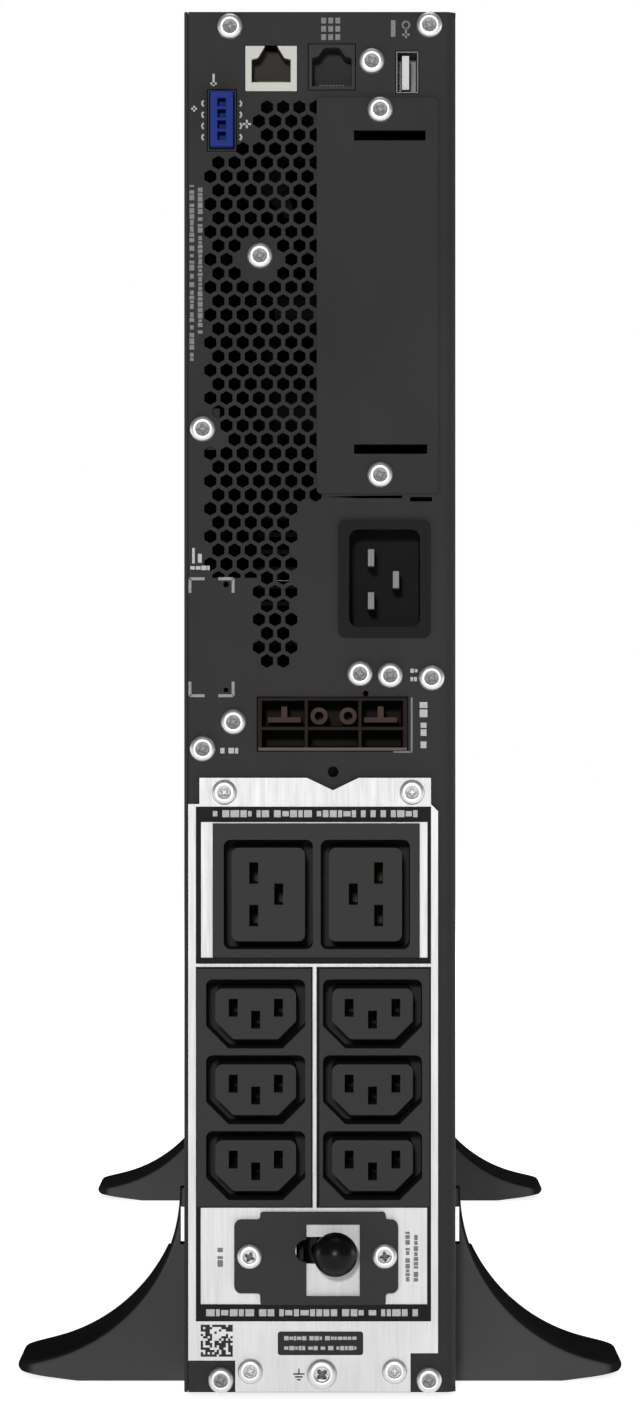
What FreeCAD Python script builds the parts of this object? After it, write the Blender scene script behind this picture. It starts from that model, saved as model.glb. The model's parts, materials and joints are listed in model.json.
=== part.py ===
import FreeCAD, Part
import math
import os

import Sketcher

# A 2U rack/tower uninterruptible power supply, standing as a tower on four stabiliser feet.
# Every sub-part is drawn in the case's own axes: X across the narrow case, Y from the rear
# panel's outer face towards the front bezel, Z up from the case's bottom edge.  Its Placement
# then moves it into the frame of the whole: origin on the floor, in the middle of the footprint.

V = FreeCAD.Vector
doc = FreeCAD.newDocument("RackmountUps")
sheet = doc.addObject("Spreadsheet::Sheet", "dims")
finished = []

DIMENSIONS = {
    # case and its sheet metal
    "case_width": 85, "case_height": 432, "case_depth": 597, "bezel_depth": 37.5,
    "rear_offset": 307.9, "foot_lug": 2.5, "sheet_thick": 1.5, "cover_sheet": 1.2,
    "joint_gap": 0.1, "panel_return": 12, "bend_radius": 3.5, "cover_flange": 10,
    "frame_y": 595.4, "screw_hole": 1.7, "proud": 1.5,
    # honeycomb vent
    "mesh_left": -31.8, "mesh_top": 402.2, "mesh_pitch": 5.07, "mesh_row": 4.333,
    "mesh_flat": 1.9, "mesh_rows": 41, "mesh_columns": 7, "vent_pad": 7.0, "side_pad": 6.2,
    "mesh_split": 256,
    # output plate, outlets and labels
    "plate_thick": 1.2, "label_thick": 0.25, "outlet_depth": 28, "ring_depth": 18,
    "contact_leaf": 0.6, "contact_front": 10, "slot_wide": 2.8, "small_slot": 5.6, "large_slot": 6.7,
    "row_pitch": 23.7, "small_rows": 3, "corner_round": 2.2, "side_round": 1.0,
    # inlet, jacks and port
    "inlet_back": 30, "well_round": 2.8, "inlet_floor": 20, "blade_wide": 2.1, "blade_tall": 5.7,
    "jack_back": 16, "usb_wall": 0.45, "port_back": 35, "network_sill": 2.8, "serial_sill": 1.2,
    # breaker
    "pivot_x": -1.2, "pivot_y": 2.5, "pivot_z": 44.6, "lever_reach": 16, "lever_lean": 22,
    "knob_radius": 6.9, "hub_radius": 4, "trunnion": 1.5, "running_gap": 0.06,
    "guard_thick": 2,
    # feet
    "foot_top": 62, "foot_arc": 56.3, "arc_across": 101.45, "arc_up": 61.95, "slit_low": 44,
    "foot_reach": 97.8, "foot_tip": 8.5, "foot_length": 51, "rear_foot_y": 39,
    "front_foot_y": 545, "lug_inner": 23, "lug_screw": 29, "toe_round": 11, "arc_round": 2.0,
    "slit_wide": 2.4, "slit_high": 56, "crest_length": 8, "crest_low": 38, "crest_wide": 8,
    # batteries
    "battery_y": 226, "battery_length": 90, "battery_left": -34, "battery_right": 36,
    "battery_tall": 101, "battery_low": 8, "battery_high": 122, "battery_step": 90.4,
    # fans
    "fan_size": 80, "fan_y": 300, "fan_depth": 25, "fan_bore": 38,
    "lower_fan_z": 286, "upper_fan_z": 388, "blade_tip": 36.4, "rotor_hub": 13.4, "fan_blades": 7,
    # display
    "display_z": 331, "dish_radius": 32, "dish_front": 633.6, "dish_hub": 8, "cap_radius": 3,
    "power_radius": 4, "cap_gap": 0.3, "cap_front": 634.4,
}

# Rectangles on the rear face and inside, as left, right, low and high.
RECTANGLES = {
    "network": (-23.4, -7.2, 407.2, 421.4), "serial": (-3.6, 11.0, 407.6, 421.9),
    "usb": (23.8, 30.8, 406.5, 419.6), "stop_header": (-35.2, -26.2, 388.5, 407.6),
    "stop_plug": (-34.3, -27.1, 389.4, 406.7), "slot_cover": (-1.0, 37.0, 281.2, 405.0),
    "slot_bay": (3.0, 33.5, 291.0, 398.0), "finger_top": (10.6, 33.0, 391.6, 394.8),
    "finger_low": (10.6, 33.5, 293.6, 296.6), "inlet_flange": (5.7, 34.5, 236.2, 273.0),
    "inlet_body": (7.2, 33.2, 237.6, 271.6), "inlet_well": (9.1, 31.3, 239.5, 270.0),
    "port": (-19.6, 27.4, 200.7, 217.5), "output_window": (-39.0, 35.0, 22.0, 181.5),
    "large_pair": (-33.5, 31.1, 136.2, 178.0), "small_left": (-38.5, -2.7, 58.4, 132.7),
    "small_right": (-0.2, 34.2, 58.4, 132.7), "upper_label": (-38.8, 34.7, 134.2, 183.3),
    "upper_clear": (-37.2, 33.6, 136.1, 178.5), "lower_label": (-38.8, 34.7, 22.4, 133.2),
    "lower_clear": (-37.3, 33.5, 27.7, 57.9), "guard": (-18.7, 20.5, 27.7, 56.7),
    "guard_ears": (-26.8, 24.4, 31.4, 54.3), "guard_window": (-4.3, 12.4, 30.3, 52.9),
    "lever_slot": (-7.4, 5.0, 40.4, 48.8), "breaker_block": (-17.0, 18.4, 28.6, 55.2),
    "bay_window": (-37.0, 37.0, 8.0, 231.0), "low_vent": (-20.0, 20.0, 246.0, 276.0),
    "high_vent": (-8.0, 20.0, 374.0, 422.0), "screen": (-22.0, 22.0, 324.5, 351.5),
    "label_split": (-2.3, -1.1, 57.0, 134.0), "relief_slot": (28.2, 35.1, 278.8, 280.2),
}

# Places on the rear face, as across and up.
SPOTS = {
    "panel_screw": [(-28.2, 427.4), (34.2, 427.9), (16.2, 416.6), (12.5, 224.9), (22.0, 224.4),
                    (34.9, 223.6), (-27.1, 209.8), (-31.0, 3.9), (34.1, 3.9)],
    "vent_screw": [(-18.8, 355.7)], "side_screw": [(-36.7, 301.5), (-36.7, 201.4)],
    "cover_screw": [(18.8, 401.3), (18.8, 287.1)],
    "plate_screw": [(-29.9, 187.8), (28.8, 187.8), (-21.8, 6.8), (23.3, 6.8), (0.6, 5.9)],
    "guard_screw": [(-22.0, 42.9), (20.2, 43.0)],
    "inlet_blade": [(16.0, 261.3), (16.0, 247.8), (23.8, 254.4)],
    "large_slot_at": [(-20.7, 162.6), (-20.7, 149.3), (-12.9, 156.0),
                      (18.3, 162.6), (18.3, 149.3), (10.4, 156.0)],
    "left_slot_at": [(-27.1, 120.5), (-20.1, 116.8), (-13.0, 120.5)],
    "right_slot_at": [(9.1, 120.5), (16.4, 116.8), (23.7, 120.5)],
    "port_power": [(-11.2, 212.0), (19.0, 212.0)],
    "port_signal": [(-0.3, 211.6), (8.8, 211.6)],
    "marker_hole": [(4.1, 194.2)],
    "vent_point": [(14.3, 218.7)],
    "key": [(-16.5, 314.0), (-5.5, 314.0), (5.5, 314.0), (16.5, 314.0)],
    "power_key": [(0.0, 306.5)],
}


# Perforated zones of the rear panel, as left, right, low and high.
MESH_ZONES = ((-19.5, 0, 392, 405), (-24.5, 0, 388, 391), (-36, 0, 279, 388),
              (-36, -8, 253, 279), (-20, -8, 228, 254))

# Slit that thins towards its ends, below the option cover, as across and up.
RELIEF_SLIT = [(1.6, 280.25), (12, 279.8), (25.7, 279.8), (25.7, 280.7), (12, 280.6)]


# ---------------------------------------------------------------- lengths bound to the sheet
class Length:
    """A length worked out from the sheet: the expression for it and its present value."""

    def __init__(self, text, value):
        self.text = text
        self.value = value

    def joined(self, sign, other, value):
        return Length(f"({self.text} {sign} {length(other).text})", value)

    def __add__(self, other):
        return self.joined("+", other, self.value + length(other).value)

    def __sub__(self, other):
        return self.joined("-", other, self.value - length(other).value)

    def __mul__(self, other):
        return self.joined("*", other, self.value * length(other).value)

    def __truediv__(self, other):
        return self.joined("/", other, self.value / length(other).value)

    def __radd__(self, other):
        return length(other) + self

    def __rsub__(self, other):
        return length(other) - self

    def __rmul__(self, other):
        return length(other) * self

    def __neg__(self):
        return length(0) - self


def length(item):
    """Any plain number as a Length, so that the two mix freely."""
    if isinstance(item, Length):
        return item
    return Length(repr(float(item)), float(item))


class Sizes:
    """The sheet's aliases as attributes, such as d.case_width."""

    def __getattr__(self, alias):
        return Length("dims." + alias, float(sheet.get(alias)))

    def rectangle(self, name):
        return [getattr(self, f"{name}_{side}") for side in ("left", "right", "low", "high")]

    def spots(self, name):
        count = len(SPOTS[name])
        return [(getattr(self, f"{name}_x{i}"), getattr(self, f"{name}_z{i}"))
                for i in range(count)]


def fill_sheet():
    """Write every driving dimension into the sheet, one row each."""
    rows = dict(DIMENSIONS)
    for name, sides in RECTANGLES.items():
        for side, size in zip(("left", "right", "low", "high"), sides):
            rows[f"{name}_{side}"] = size
    for name, places in SPOTS.items():
        for index, (across, up) in enumerate(places):
            rows[f"{name}_x{index}"] = across
            rows[f"{name}_z{index}"] = up
    for row, (alias, size) in enumerate(rows.items(), start=1):
        sheet.set(f"A{row}", alias.replace("_", " "))
        sheet.set(f"B{row}", str(size))
        sheet.setAlias(f"B{row}", alias)
    doc.recompute()


fill_sheet()
d = Sizes()
HALF = d.case_width / 2
LEFT = d.joint_gap + d.cover_sheet - HALF
FACE = -d.plate_thick


# ---------------------------------------------------------------- building blocks
def settle(item, label):
    """Name a finished sub-part and place it in the frame of the whole."""
    item.Label = label
    item.setExpression("Placement.Base.y", "-dims.rear_offset")
    item.setExpression("Placement.Base.z", "dims.foot_lug")
    finished.append(item)
    return item


def bind(item, name, size):
    item.setExpression(name, length(size).text)


def new_body(name):
    return doc.addObject("PartDesign::Body", name)


def new_sketch(body, role, offset):
    sketch = body.newObject("Sketcher::SketchObject", body.Name + "_sketch")
    plane = next(item for item in body.Origin.OriginFeatures if item.Role == role)
    sketch.AttachmentSupport = [(plane, "")]
    sketch.MapMode = "FlatFace"
    bind(sketch, "AttachmentOffset.Base.z", offset)
    return sketch


def rear_sketch(body, depth=0):
    """Sketch facing the rear, at a depth behind the panel's outer face."""
    return new_sketch(body, "XZ_Plane", -length(depth))


def plan_sketch(body, height=0):
    """Sketch seen from above, at a height."""
    return new_sketch(body, "XY_Plane", height)


def polygon(sketch, corners):
    """Closed outline with every corner bound to the sheet."""
    first = sketch.GeometryCount
    count = len(corners)
    corners = [(length(across), length(along)) for across, along in corners]
    points = [V(across.value, along.value, 0) for across, along in corners]
    sketch.addGeometry([Part.LineSegment(points[i], points[(i + 1) % count])
                        for i in range(count)], False)
    sketch.addConstraint([Sketcher.Constraint("Coincident", first + i, 2,
                                              first + (i + 1) % count, 1) for i in range(count)])
    for i, (across, along) in enumerate(corners):
        for kind, size in (("DistanceX", across), ("DistanceY", along)):
            index = sketch.addConstraint(
                Sketcher.Constraint(kind, -1, 1, first + i, 1, size.value))
            sketch.setExpression(f"Constraints[{index}]", size.text)


def rectangle(sketch, left, right, low, high):
    polygon(sketch, [(left, low), (right, low), (right, high), (left, high)])


def circle(sketch, across, along, radius):
    across, along, radius = length(across), length(along), length(radius)
    index = sketch.addGeometry(
        Part.Circle(V(across.value, along.value, 0), V(0, 0, 1), radius.value), False)
    bounds = (("Radius", (index, radius.value), radius),
              ("DistanceX", (-1, 1, index, 3, across.value), across),
              ("DistanceY", (-1, 1, index, 3, along.value), along))
    for kind, places, size in bounds:
        spot = sketch.addConstraint(Sketcher.Constraint(kind, *places))
        sketch.setExpression(f"Constraints[{spot}]", size.text)


def pad(body, sketch, size, forward=True):
    """Pad a sketch; forward is towards the bezel or upwards."""
    feature = body.newObject("PartDesign::Pad", body.Name + "_pad")
    feature.Profile = sketch
    bind(feature, "Length", size)
    normal = sketch.Placement.Rotation.multVec(V(0, 0, 1))
    feature.Reversed = forward == (normal.y < -0.5)
    doc.recompute()
    return feature


def cut(body, sketch, size, forward=True):
    """Pocket a sketch and make sure that it took material away."""
    before = body.Shape.Volume
    feature = body.newObject("PartDesign::Pocket", body.Name + "_pocket")
    feature.Profile = sketch
    bind(feature, "Length", size)
    normal = sketch.Placement.Rotation.multVec(V(0, 0, 1))
    feature.Reversed = forward != (normal.y < -0.5)
    doc.recompute()
    if not body.Shape.Volume < before - 1e-6:
        raise ValueError(feature.Name + " cuts nothing")
    return feature


def edges_where(shape, test):
    """Names of the edges whose two ends both pass a test."""
    names = []
    for index, edge in enumerate(shape.Edges, start=1):
        if len(edge.Vertexes) == 2 and all(test(corner.Point) for corner in edge.Vertexes):
            names.append(f"Edge{index}")
    return names


def corner_edges(shape, test):
    """Names of the edges along the case's depth that stand where a test passes."""
    names = []
    for index, edge in enumerate(shape.Edges, start=1):
        ends = [corner.Point for corner in edge.Vertexes]
        if len(ends) == 2 and near(ends[0].x, ends[1].x) and near(ends[0].z, ends[1].z):
            if test(ends[0]):
                names.append(f"Edge{index}")
    return names


def soften(body, kind, size, test, pick=edges_where):
    """Fillet or chamfer the edges of a body that pass a test."""
    feature = body.newObject(f"PartDesign::{kind}", f"{body.Name}_{kind.lower()}")
    source = feature.BaseFeature
    feature.Base = (source, pick(source.Shape, test))
    bind(feature, {"Fillet": "Radius", "Chamfer": "Size"}[kind], size)
    doc.recompute()
    return feature


def near(first, second):
    return abs(first - length(second).value) < 1e-4


def slab(label, outline, start, thick, holes=(), windows=()):
    """Flat piece parallel to the rear panel, with round holes and rectangular windows."""
    body = new_body(label)
    sketch = rear_sketch(body, start)
    polygon(sketch, outline)
    pad(body, sketch, thick)
    if holes or windows:
        openings = rear_sketch(body, start)
        for across, up, radius in holes:
            circle(openings, across, up, radius)
        for sides in windows:
            rectangle(openings, *sides)
        cut(body, openings, thick)
    return body


def corners(left, right, low, high):
    return [(left, low), (right, low), (right, high), (left, high)]


def clipped(left, right, low, high, low_cut, high_cut):
    """Corners of a rectangle with its lower and upper corners cut off."""
    return [(left + low_cut, low), (right - low_cut, low), (right, low + low_cut),
            (right, high - high_cut), (right - high_cut, high), (left + high_cut, high),
            (left, high - high_cut), (left, low + low_cut)]


def box(name, x, y, z):
    """Box between pairs of lengths."""
    item = doc.addObject("Part::Box", name)
    for size, place, (start, end) in (("Length", "x", x), ("Width", "y", y), ("Height", "z", z)):
        bind(item, size, length(end) - start)
        bind(item, "Placement.Base." + place, start)
    return item


def rod(name, radius, centre, size, axis=V(0, 0, 1)):
    """Cylinder of a size along an axis, from its first end's centre."""
    item = doc.addObject("Part::Cylinder", name)
    bind(item, "Radius", radius)
    bind(item, "Height", size)
    item.Placement.Rotation = FreeCAD.Rotation(V(0, 0, 1), axis)
    for letter, place in zip("xyz", centre):
        bind(item, "Placement.Base." + letter, place)
    return item


def fused(name, items):
    item = doc.addObject("Part::MultiFuse", name)
    item.Shapes = items
    return item


def carved(name, base, tools):
    item = doc.addObject("Part::Cut", name)
    item.Base = base
    item.Tool = tools[0] if len(tools) == 1 else fused(name + "_tools", tools)
    return item


def collected(name, items):
    """Several solids that share one node."""
    item = doc.addObject("Part::Compound", name)
    item.Links = items
    return item


def feature(name, shape):
    item = doc.addObject("Part::Feature", name)
    item.Shape = shape
    return item


# ---------------------------------------------------------------- rear panel and case
def hexagon(across, up, lowest):
    """Pointed-top hexagon of the honeycomb, cut off level at a lowest height."""
    radius = d.mesh_flat.value / math.cos(math.pi / 6)
    points = []
    for step in range(6):
        angle = math.pi / 6 + step * math.pi / 3
        points.append(V(across + radius * math.cos(angle), 0,
                        max(up + radius * math.sin(angle), lowest)))
    wire = Part.makePolygon(points + points[:1])
    thick = d.sheet_thick.value
    face = Part.Face(wire)
    face.translate(V(0, -thick, 0))
    return face.extrude(V(0, 3 * thick, 0))


def make_mesh_cutters():
    """All the honeycomb's holes, left out around the screws beside them."""
    pads = [(x.value, z.value, d.vent_pad.value) for x, z in d.spots("vent_screw")]
    pads += [(x.value, z.value, d.side_pad.value) for x, z in d.spots("side_screw")]
    holes = []
    for row in range(int(d.mesh_rows.value)):
        up = d.mesh_top.value - row * d.mesh_row.value
        shift = -d.mesh_pitch.value / 2 if row % 2 else 0
        for column in range(int(d.mesh_columns.value)):
            across = d.mesh_left.value + shift + column * d.mesh_pitch.value
            inside = any(left < across < right and low < up < high
                         for left, right, low, high in MESH_ZONES)
            clear = all(math.hypot(across - x, up - z) > reach for x, z, reach in pads)
            cut_short = up < d.mesh_split.value and across < -20
            if inside and clear:
                holes.append(hexagon(across, up, up if cut_short else 0))
    return feature("mesh_cutters", Part.makeCompound(holes))


def make_rear_panel():
    body = new_body("rear_sheet")
    plan = plan_sketch(body)
    inner = HALF - d.sheet_thick
    polygon(plan, [(LEFT, 0), (HALF, 0), (HALF, d.panel_return), (inner, d.panel_return),
                   (inner, d.sheet_thick), (LEFT, d.sheet_thick)])
    pad(body, plan, d.case_height)
    soften(body, "Fillet", d.bend_radius, lambda p: near(p.x, HALF) and near(p.y, 0))
    soften(body, "Fillet", d.bend_radius - d.sheet_thick,
           lambda p: near(p.x, inner) and near(p.y, d.sheet_thick))
    ends = rear_sketch(body, d.sheet_thick)
    for low, high in ((-1, d.sheet_thick + d.joint_gap),
                      (d.case_height - d.sheet_thick - d.joint_gap, d.case_height + 1)):
        rectangle(ends, HALF - 8, HALF + 1, low, high)
    cut(body, ends, d.panel_return)
    openings = rear_sketch(body)
    gap = 0.2
    for name in ("network", "serial", "usb", "stop_header", "slot_bay", "inlet_body", "port",
                 "output_window"):
        left, right, low, high = d.rectangle(name)
        rectangle(openings, left - gap, right + gap, low - gap, high + gap)
    rectangle(openings, *d.rectangle("relief_slot"))
    polygon(openings, RELIEF_SLIT)
    for across, up in d.spots("vent_point"):
        circle(openings, across, up, 0.9)
    for name in ("panel_screw", "vent_screw", "side_screw", "cover_screw", "plate_screw",
                 "marker_hole"):
        for across, up in d.spots(name):
            circle(openings, across, up, d.screw_hole)
    cut(body, openings, d.sheet_thick)
    settle(carved("rear_panel", body, [make_mesh_cutters()]), "rear_panel")


def make_chassis_tray():
    body = new_body("chassis_tray")
    start = d.sheet_thick
    inner = HALF - d.sheet_thick
    top = d.case_height - d.sheet_thick
    profile = rear_sketch(body, start)
    polygon(profile, [(LEFT, 0), (HALF, 0), (HALF, d.case_height), (LEFT, d.case_height),
                      (LEFT, top), (inner, top), (inner, d.sheet_thick), (LEFT, d.sheet_thick)])
    pad(body, profile, d.case_depth - start)
    relief = rear_sketch(body, start)
    rectangle(relief, inner - 1, HALF + 1, d.sheet_thick, top)
    cut(body, relief, d.panel_return - start + d.joint_gap)
    holes = plan_sketch(body, -1)
    for across in (-15, 15):
        for along in (547, 587):
            circle(holes, across, along, 2)
    cut(body, holes, d.case_height + 2)
    lugs = plan_sketch(body, -1)
    for across, along in foot_screw_places():
        circle(lugs, across, along, 2.1)
    cut(body, lugs, 1 + d.sheet_thick)
    for height, forward in ((d.case_height, False), (0, True)):
        sinks = plan_sketch(body, height)
        for along in case_screw_places():
            circle(sinks, d.cover_flange / 2 - HALF + d.cover_sheet, along, 3.2)
        cut(body, sinks, d.sheet_thick, forward)
    settle(body, "chassis_tray")


def make_side_cover():
    body = new_body("side_cover")
    profile = rear_sketch(body)
    inner = d.cover_sheet - HALF
    low = d.sheet_thick + d.joint_gap
    high = d.case_height - low
    rectangle(profile, -HALF, inner, 0, d.case_height)
    pad(body, profile, d.case_depth)
    for start, end, ranges in (
            (14, 594, ((low, low + d.cover_sheet), (high - d.cover_sheet, high))),
            (1.6, 2.8, ((195, 208), (295, 308), (409, 424)))):
        flange = rear_sketch(body, start)
        for bottom, top in ranges:
            rectangle(flange, inner - 0.2, inner + d.cover_flange, bottom, top)
        pad(body, flange, end - start)
    taps = plan_sketch(body, -1)
    for along in case_screw_places():
        circle(taps, inner + d.cover_flange / 2, along, 1.6)
    cut(body, taps, d.case_height + 2)
    tabs = rear_sketch(body, 1)
    for across, up in d.spots("side_screw"):
        circle(tabs, across, up, 1.6)
    cut(body, tabs, 4)
    settle(body, "side_cover")


def make_front_frame():
    display = d.display_z
    slots = [(side - 4.3, side + 4.3, up - 1.6, up + 1.6)
             for side in (-28, 28) for up in (292.2, 369.8)]
    windows = [d.rectangle(name) for name in ("bay_window", "low_vent", "high_vent")]
    outline = corners(LEFT + 0.4, HALF - d.sheet_thick - 0.2, d.sheet_thick + 0.3,
                      d.case_height - d.sheet_thick - 0.3)
    body = slab("front_frame", outline, d.frame_y, d.sheet_thick,
                holes=[(0, display, 10)], windows=windows + slots)
    settle(body, "front_frame")


def make_bay_divider():
    body = new_body("bay_divider")
    plan = plan_sketch(body, 236.5)
    rectangle(plan, LEFT + 0.3, HALF - d.sheet_thick - 0.1, 205, 592)
    pad(body, plan, d.sheet_thick)
    vents = plan_sketch(body, 236.5 + d.sheet_thick)
    for index in range(12):
        rectangle(vents, -24, 24, 250 + 26 * index, 253.5 + 26 * index)
    cut(body, vents, d.sheet_thick, forward=False)
    settle(body, "bay_divider")


def make_battery_retainer():
    left, right, low, high = d.rectangle("bay_window")
    body = slab("battery_retainer", corners(left + 1, right - 1, low - 3, high - 1), 590.6, 1.2,
                holes=[(0, 121, 12), (0, 45, 6), (0, 195, 6)])
    settle(body, "battery_retainer")


def make_front_bezel():
    body = new_body("front_bezel")
    start = d.case_depth + 0.5
    front = d.case_depth + d.bezel_depth + 0.5
    outline = rear_sketch(body, start)
    rectangle(outline, -HALF, HALF, 0, d.case_height)
    pad(body, outline, d.bezel_depth)
    soften(body, "Fillet", 5, lambda p: near(p.y, front))
    hollow = rear_sketch(body, start)
    rectangle(hollow, 2.5 - HALF, HALF - 2.5, 2.5, d.case_height - 2.5)
    cut(body, hollow, d.bezel_depth - 3.2)
    ring = rear_sketch(body, start + 6)
    circle(ring, 0, d.display_z, d.dish_radius + 3)
    pad(body, ring, d.bezel_depth - 8)
    clips = rear_sketch(body, 590.6)
    for side in (-28, 28):
        for up in (292.2, 369.8):
            rectangle(clips, side - 4, side + 4, up - 1.2, up + 1.2)
    pad(body, clips, front - 592.6)
    opening = rear_sketch(body, start)
    circle(opening, 0, d.display_z, d.dish_radius + 0.6)
    cut(body, opening, d.bezel_depth + 1)
    for low, count in ((18, 34), (376, 6)):
        slots = rear_sketch(body, front - 4)
        rectangle(slots, -33, 33, low, low + 3.4)
        louvre = cut(body, slots, 5)
        pattern = body.newObject("PartDesign::LinearPattern", "louvres")
        pattern.Originals = [louvre]
        pattern.Direction = (slots, ["V_Axis"])
        pattern.Length = 7.9 * (count - 1)
        pattern.Occurrences = count
        body.Tip = pattern
        doc.recompute()
    settle(body, "front_bezel")


# ---------------------------------------------------------------- output plate and outlets
def make_output_plate():
    outline = [(LEFT, 10.1), (-26.5, 10.1), (-26.5, 0.3), (28.3, 0.3), (28.3, 12.4),
               (36.9, 12.4), (36.9, 181.9), (34.7, 184.1), (34.7, 192.3), (12.1, 192.3),
               (4.1, 188.4), (-4.1, 192.3), (-37.7, 192.3), (-37.7, 184.1), (LEFT, 184.1)]
    holes = [(x, z, d.screw_hole) for x, z in d.spots("plate_screw") + d.spots("guard_screw")]
    windows = [grown(d.rectangle(name), 0.1) for name in ("large_pair", "small_left",
                                                          "small_right")]
    windows.append(d.rectangle("lever_slot"))
    settle(slab("output_plate", outline, FACE, d.plate_thick, holes, windows), "output_plate")


def grown(sides, gap):
    left, right, low, high = sides
    return left - gap, right + gap, low - gap, high + gap


def make_output_labels():
    """Two printed foils on the plate, open around the outlets and the breaker."""
    body = new_body("output_labels")
    start = FACE - d.label_thick
    for name, clear in (("upper_label", [d.rectangle("upper_clear")]),
                        ("lower_label", [d.rectangle("lower_clear"),
                                         grown(d.rectangle("small_left"), 0.1),
                                         grown(d.rectangle("small_right"), 0.1)])):
        sketch = rear_sketch(body, start)
        rectangle(sketch, *d.rectangle(name))
        for sides in clear:
            rectangle(sketch, *sides)
        item = body.newObject("PartDesign::Pad", name)
        item.Profile = sketch
        item.Reversed = True
        bind(item, "Length", d.label_thick)
        doc.recompute()
    split = rear_sketch(body, start)
    rectangle(split, *d.rectangle("label_split"))
    cut(body, split, d.label_thick)
    settle(body, "output_labels")


def coffin(left, right, low, high, low_cut):
    """Corners of a rectangle with its lower corners cut off."""
    return [(left + low_cut, low), (right - low_cut, low), (right, low + low_cut),
            (right, high), (left, high), (left, low + low_cut)]


def outlet_block(label, block, recesses, slots, slot_tall):
    """Moulded outlet: a ring round each core for the plug's shroud, and slots for its pins."""
    body = new_body(label)
    front = FACE - d.proud
    outline = rear_sketch(body, front)
    rectangle(outline, *block)
    pad(body, outline, d.outlet_depth - front)
    rings = rear_sketch(body, front)
    for outer, core in recesses:
        polygon(rings, outer)
        polygon(rings, core)
    cut(body, rings, d.ring_depth)
    round_recess(body, block, recesses)
    mouths = rear_sketch(body, front)
    wells = rear_sketch(body, d.outlet_depth)
    for across, up in slots:
        half, tall = d.slot_wide / 2, slot_tall / 2
        rectangle(mouths, across - half, across + half, up - tall, up + tall)
        rectangle(wells, across - 2.3, across + 2.3, up - tall - 0.4, up + tall + 0.4)
    cut(body, mouths, d.outlet_depth - front)
    cut(body, wells, d.outlet_depth - 2, forward=False)
    settle(body, label)


def round_recess(body, block, recesses):
    """Round the ring's corners: generously at the top, and a little where sides slope."""
    left, right = block[0].value, block[1].value
    tops = [max(length(up).value for across, up in outline)
            for pair in recesses for outline in pair]

    def inside(point):
        return left + 0.5 < point.x < right - 0.5

    def at_top(point):
        return any(near(point.z, top) for top in tops)

    square = all(len(outline) == 4 for pair in recesses for outline in pair)
    soften(body, "Fillet", d.corner_round, lambda p: inside(p) and (square or at_top(p)),
           corner_edges)
    if not square:
        soften(body, "Fillet", d.side_round, lambda p: inside(p) and not at_top(p), corner_edges)


def small_outlets(label, block, slots, centre):
    """Strip of three small outlets, one above the other."""
    recesses, places = [], []
    for row in range(int(d.small_rows.value)):
        drop = d.row_pitch * row
        middle = 118.6 - drop
        outer = coffin(centre - 15.5, centre + 15.5, middle - 10.8, middle + 10.8, 7)
        core = coffin(centre - 12.6, centre + 12.6, middle - 7.9, middle + 7.9, 5.6)
        recesses.append((outer, core))
        places += [(across, up - drop) for across, up in slots]
    outlet_block(label, block, recesses, places, d.small_slot)


def make_outlets():
    recesses = []
    for left, right, core_left, core_right in ((-30.1, -2.2, -27.6, -4.7), (0.2, 28.1, 2.7, 25.6)):
        recesses.append((corners(left, right, 138.8, 173),
                         corners(core_left, core_right, 141.3, 170.5)))
    outlet_block("c19_outlet_pair", d.rectangle("large_pair"), recesses,
                 d.spots("large_slot_at"), d.large_slot)
    small_outlets("c13_outlets_left", d.rectangle("small_left"), d.spots("left_slot_at"), -20.1)
    small_outlets("c13_outlets_right", d.rectangle("small_right"), d.spots("right_slot_at"), 16.4)


def contact_shape(across, up, tall):
    """Fork contact behind one slot: two leaves, a base that closes the well, and a tail."""
    leaf = d.contact_leaf.value
    front = d.contact_front.value
    back = d.outlet_depth.value
    half = d.slot_wide.value / 2 + 0.05
    parts = [Part.makeBox(4.4, 3.5, tall + 0.6, V(-2.2, back - 3.7, -tall / 2 - 0.3)),
             Part.makeBox(0.8, 9, 5, V(-0.4, back - 0.4, -2.5))]
    for side in (-half - leaf, half):
        parts.append(Part.makeBox(leaf, back - 3.4 - front, tall, V(side, front, -tall / 2)))
    shape = parts[0].multiFuse(parts[1:])
    shape.translate(V(across.value, 0, up.value))
    return shape


def make_outlet_contacts():
    places = [(x, z, d.large_slot.value) for x, z in d.spots("large_slot_at")]
    for row in range(int(d.small_rows.value)):
        for x, z in d.spots("left_slot_at") + d.spots("right_slot_at"):
            places.append((x, z - d.row_pitch * row, d.small_slot.value))
    shapes = [contact_shape(x, z, tall) for x, z, tall in places]
    settle(feature("outlet_contacts", Part.makeCompound(shapes)), "outlet_contacts")


# ---------------------------------------------------------------- inlet, jacks and ports
def make_inlet():
    body = new_body("inlet_housing")
    flange = rear_sketch(body, -d.proud)
    rectangle(flange, *d.rectangle("inlet_flange"))
    pad(body, flange, d.proud)
    soften(body, "Fillet", d.corner_round, lambda p: True, corner_edges)
    shell = rear_sketch(body)
    rectangle(shell, *d.rectangle("inlet_body"))
    pad(body, shell, d.inlet_back)
    well = rear_sketch(body, -d.proud)
    rectangle(well, *d.rectangle("inlet_well"))
    cut(body, well, d.inlet_floor + d.proud)
    well_sides = d.rectangle("inlet_well")[:2]
    soften(body, "Fillet", d.well_round, lambda p: any(near(p.x, side) for side in well_sides),
           corner_edges)
    seats = rear_sketch(body, d.inlet_floor)
    half, tall = d.blade_wide / 2, d.blade_tall / 2
    for x, z in d.spots("inlet_blade"):
        rectangle(seats, x - half, x + half, z - tall, z + tall)
    cut(body, seats, d.inlet_back)
    settle(body, "inlet_housing")
    blades = [box("inlet_pin", (x - half, x + half), (2.0, 39.0), (z - tall, z + tall))
              for x, z in d.spots("inlet_blade")]
    settle(collected("inlet_pins", blades), "inlet_pins")


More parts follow.
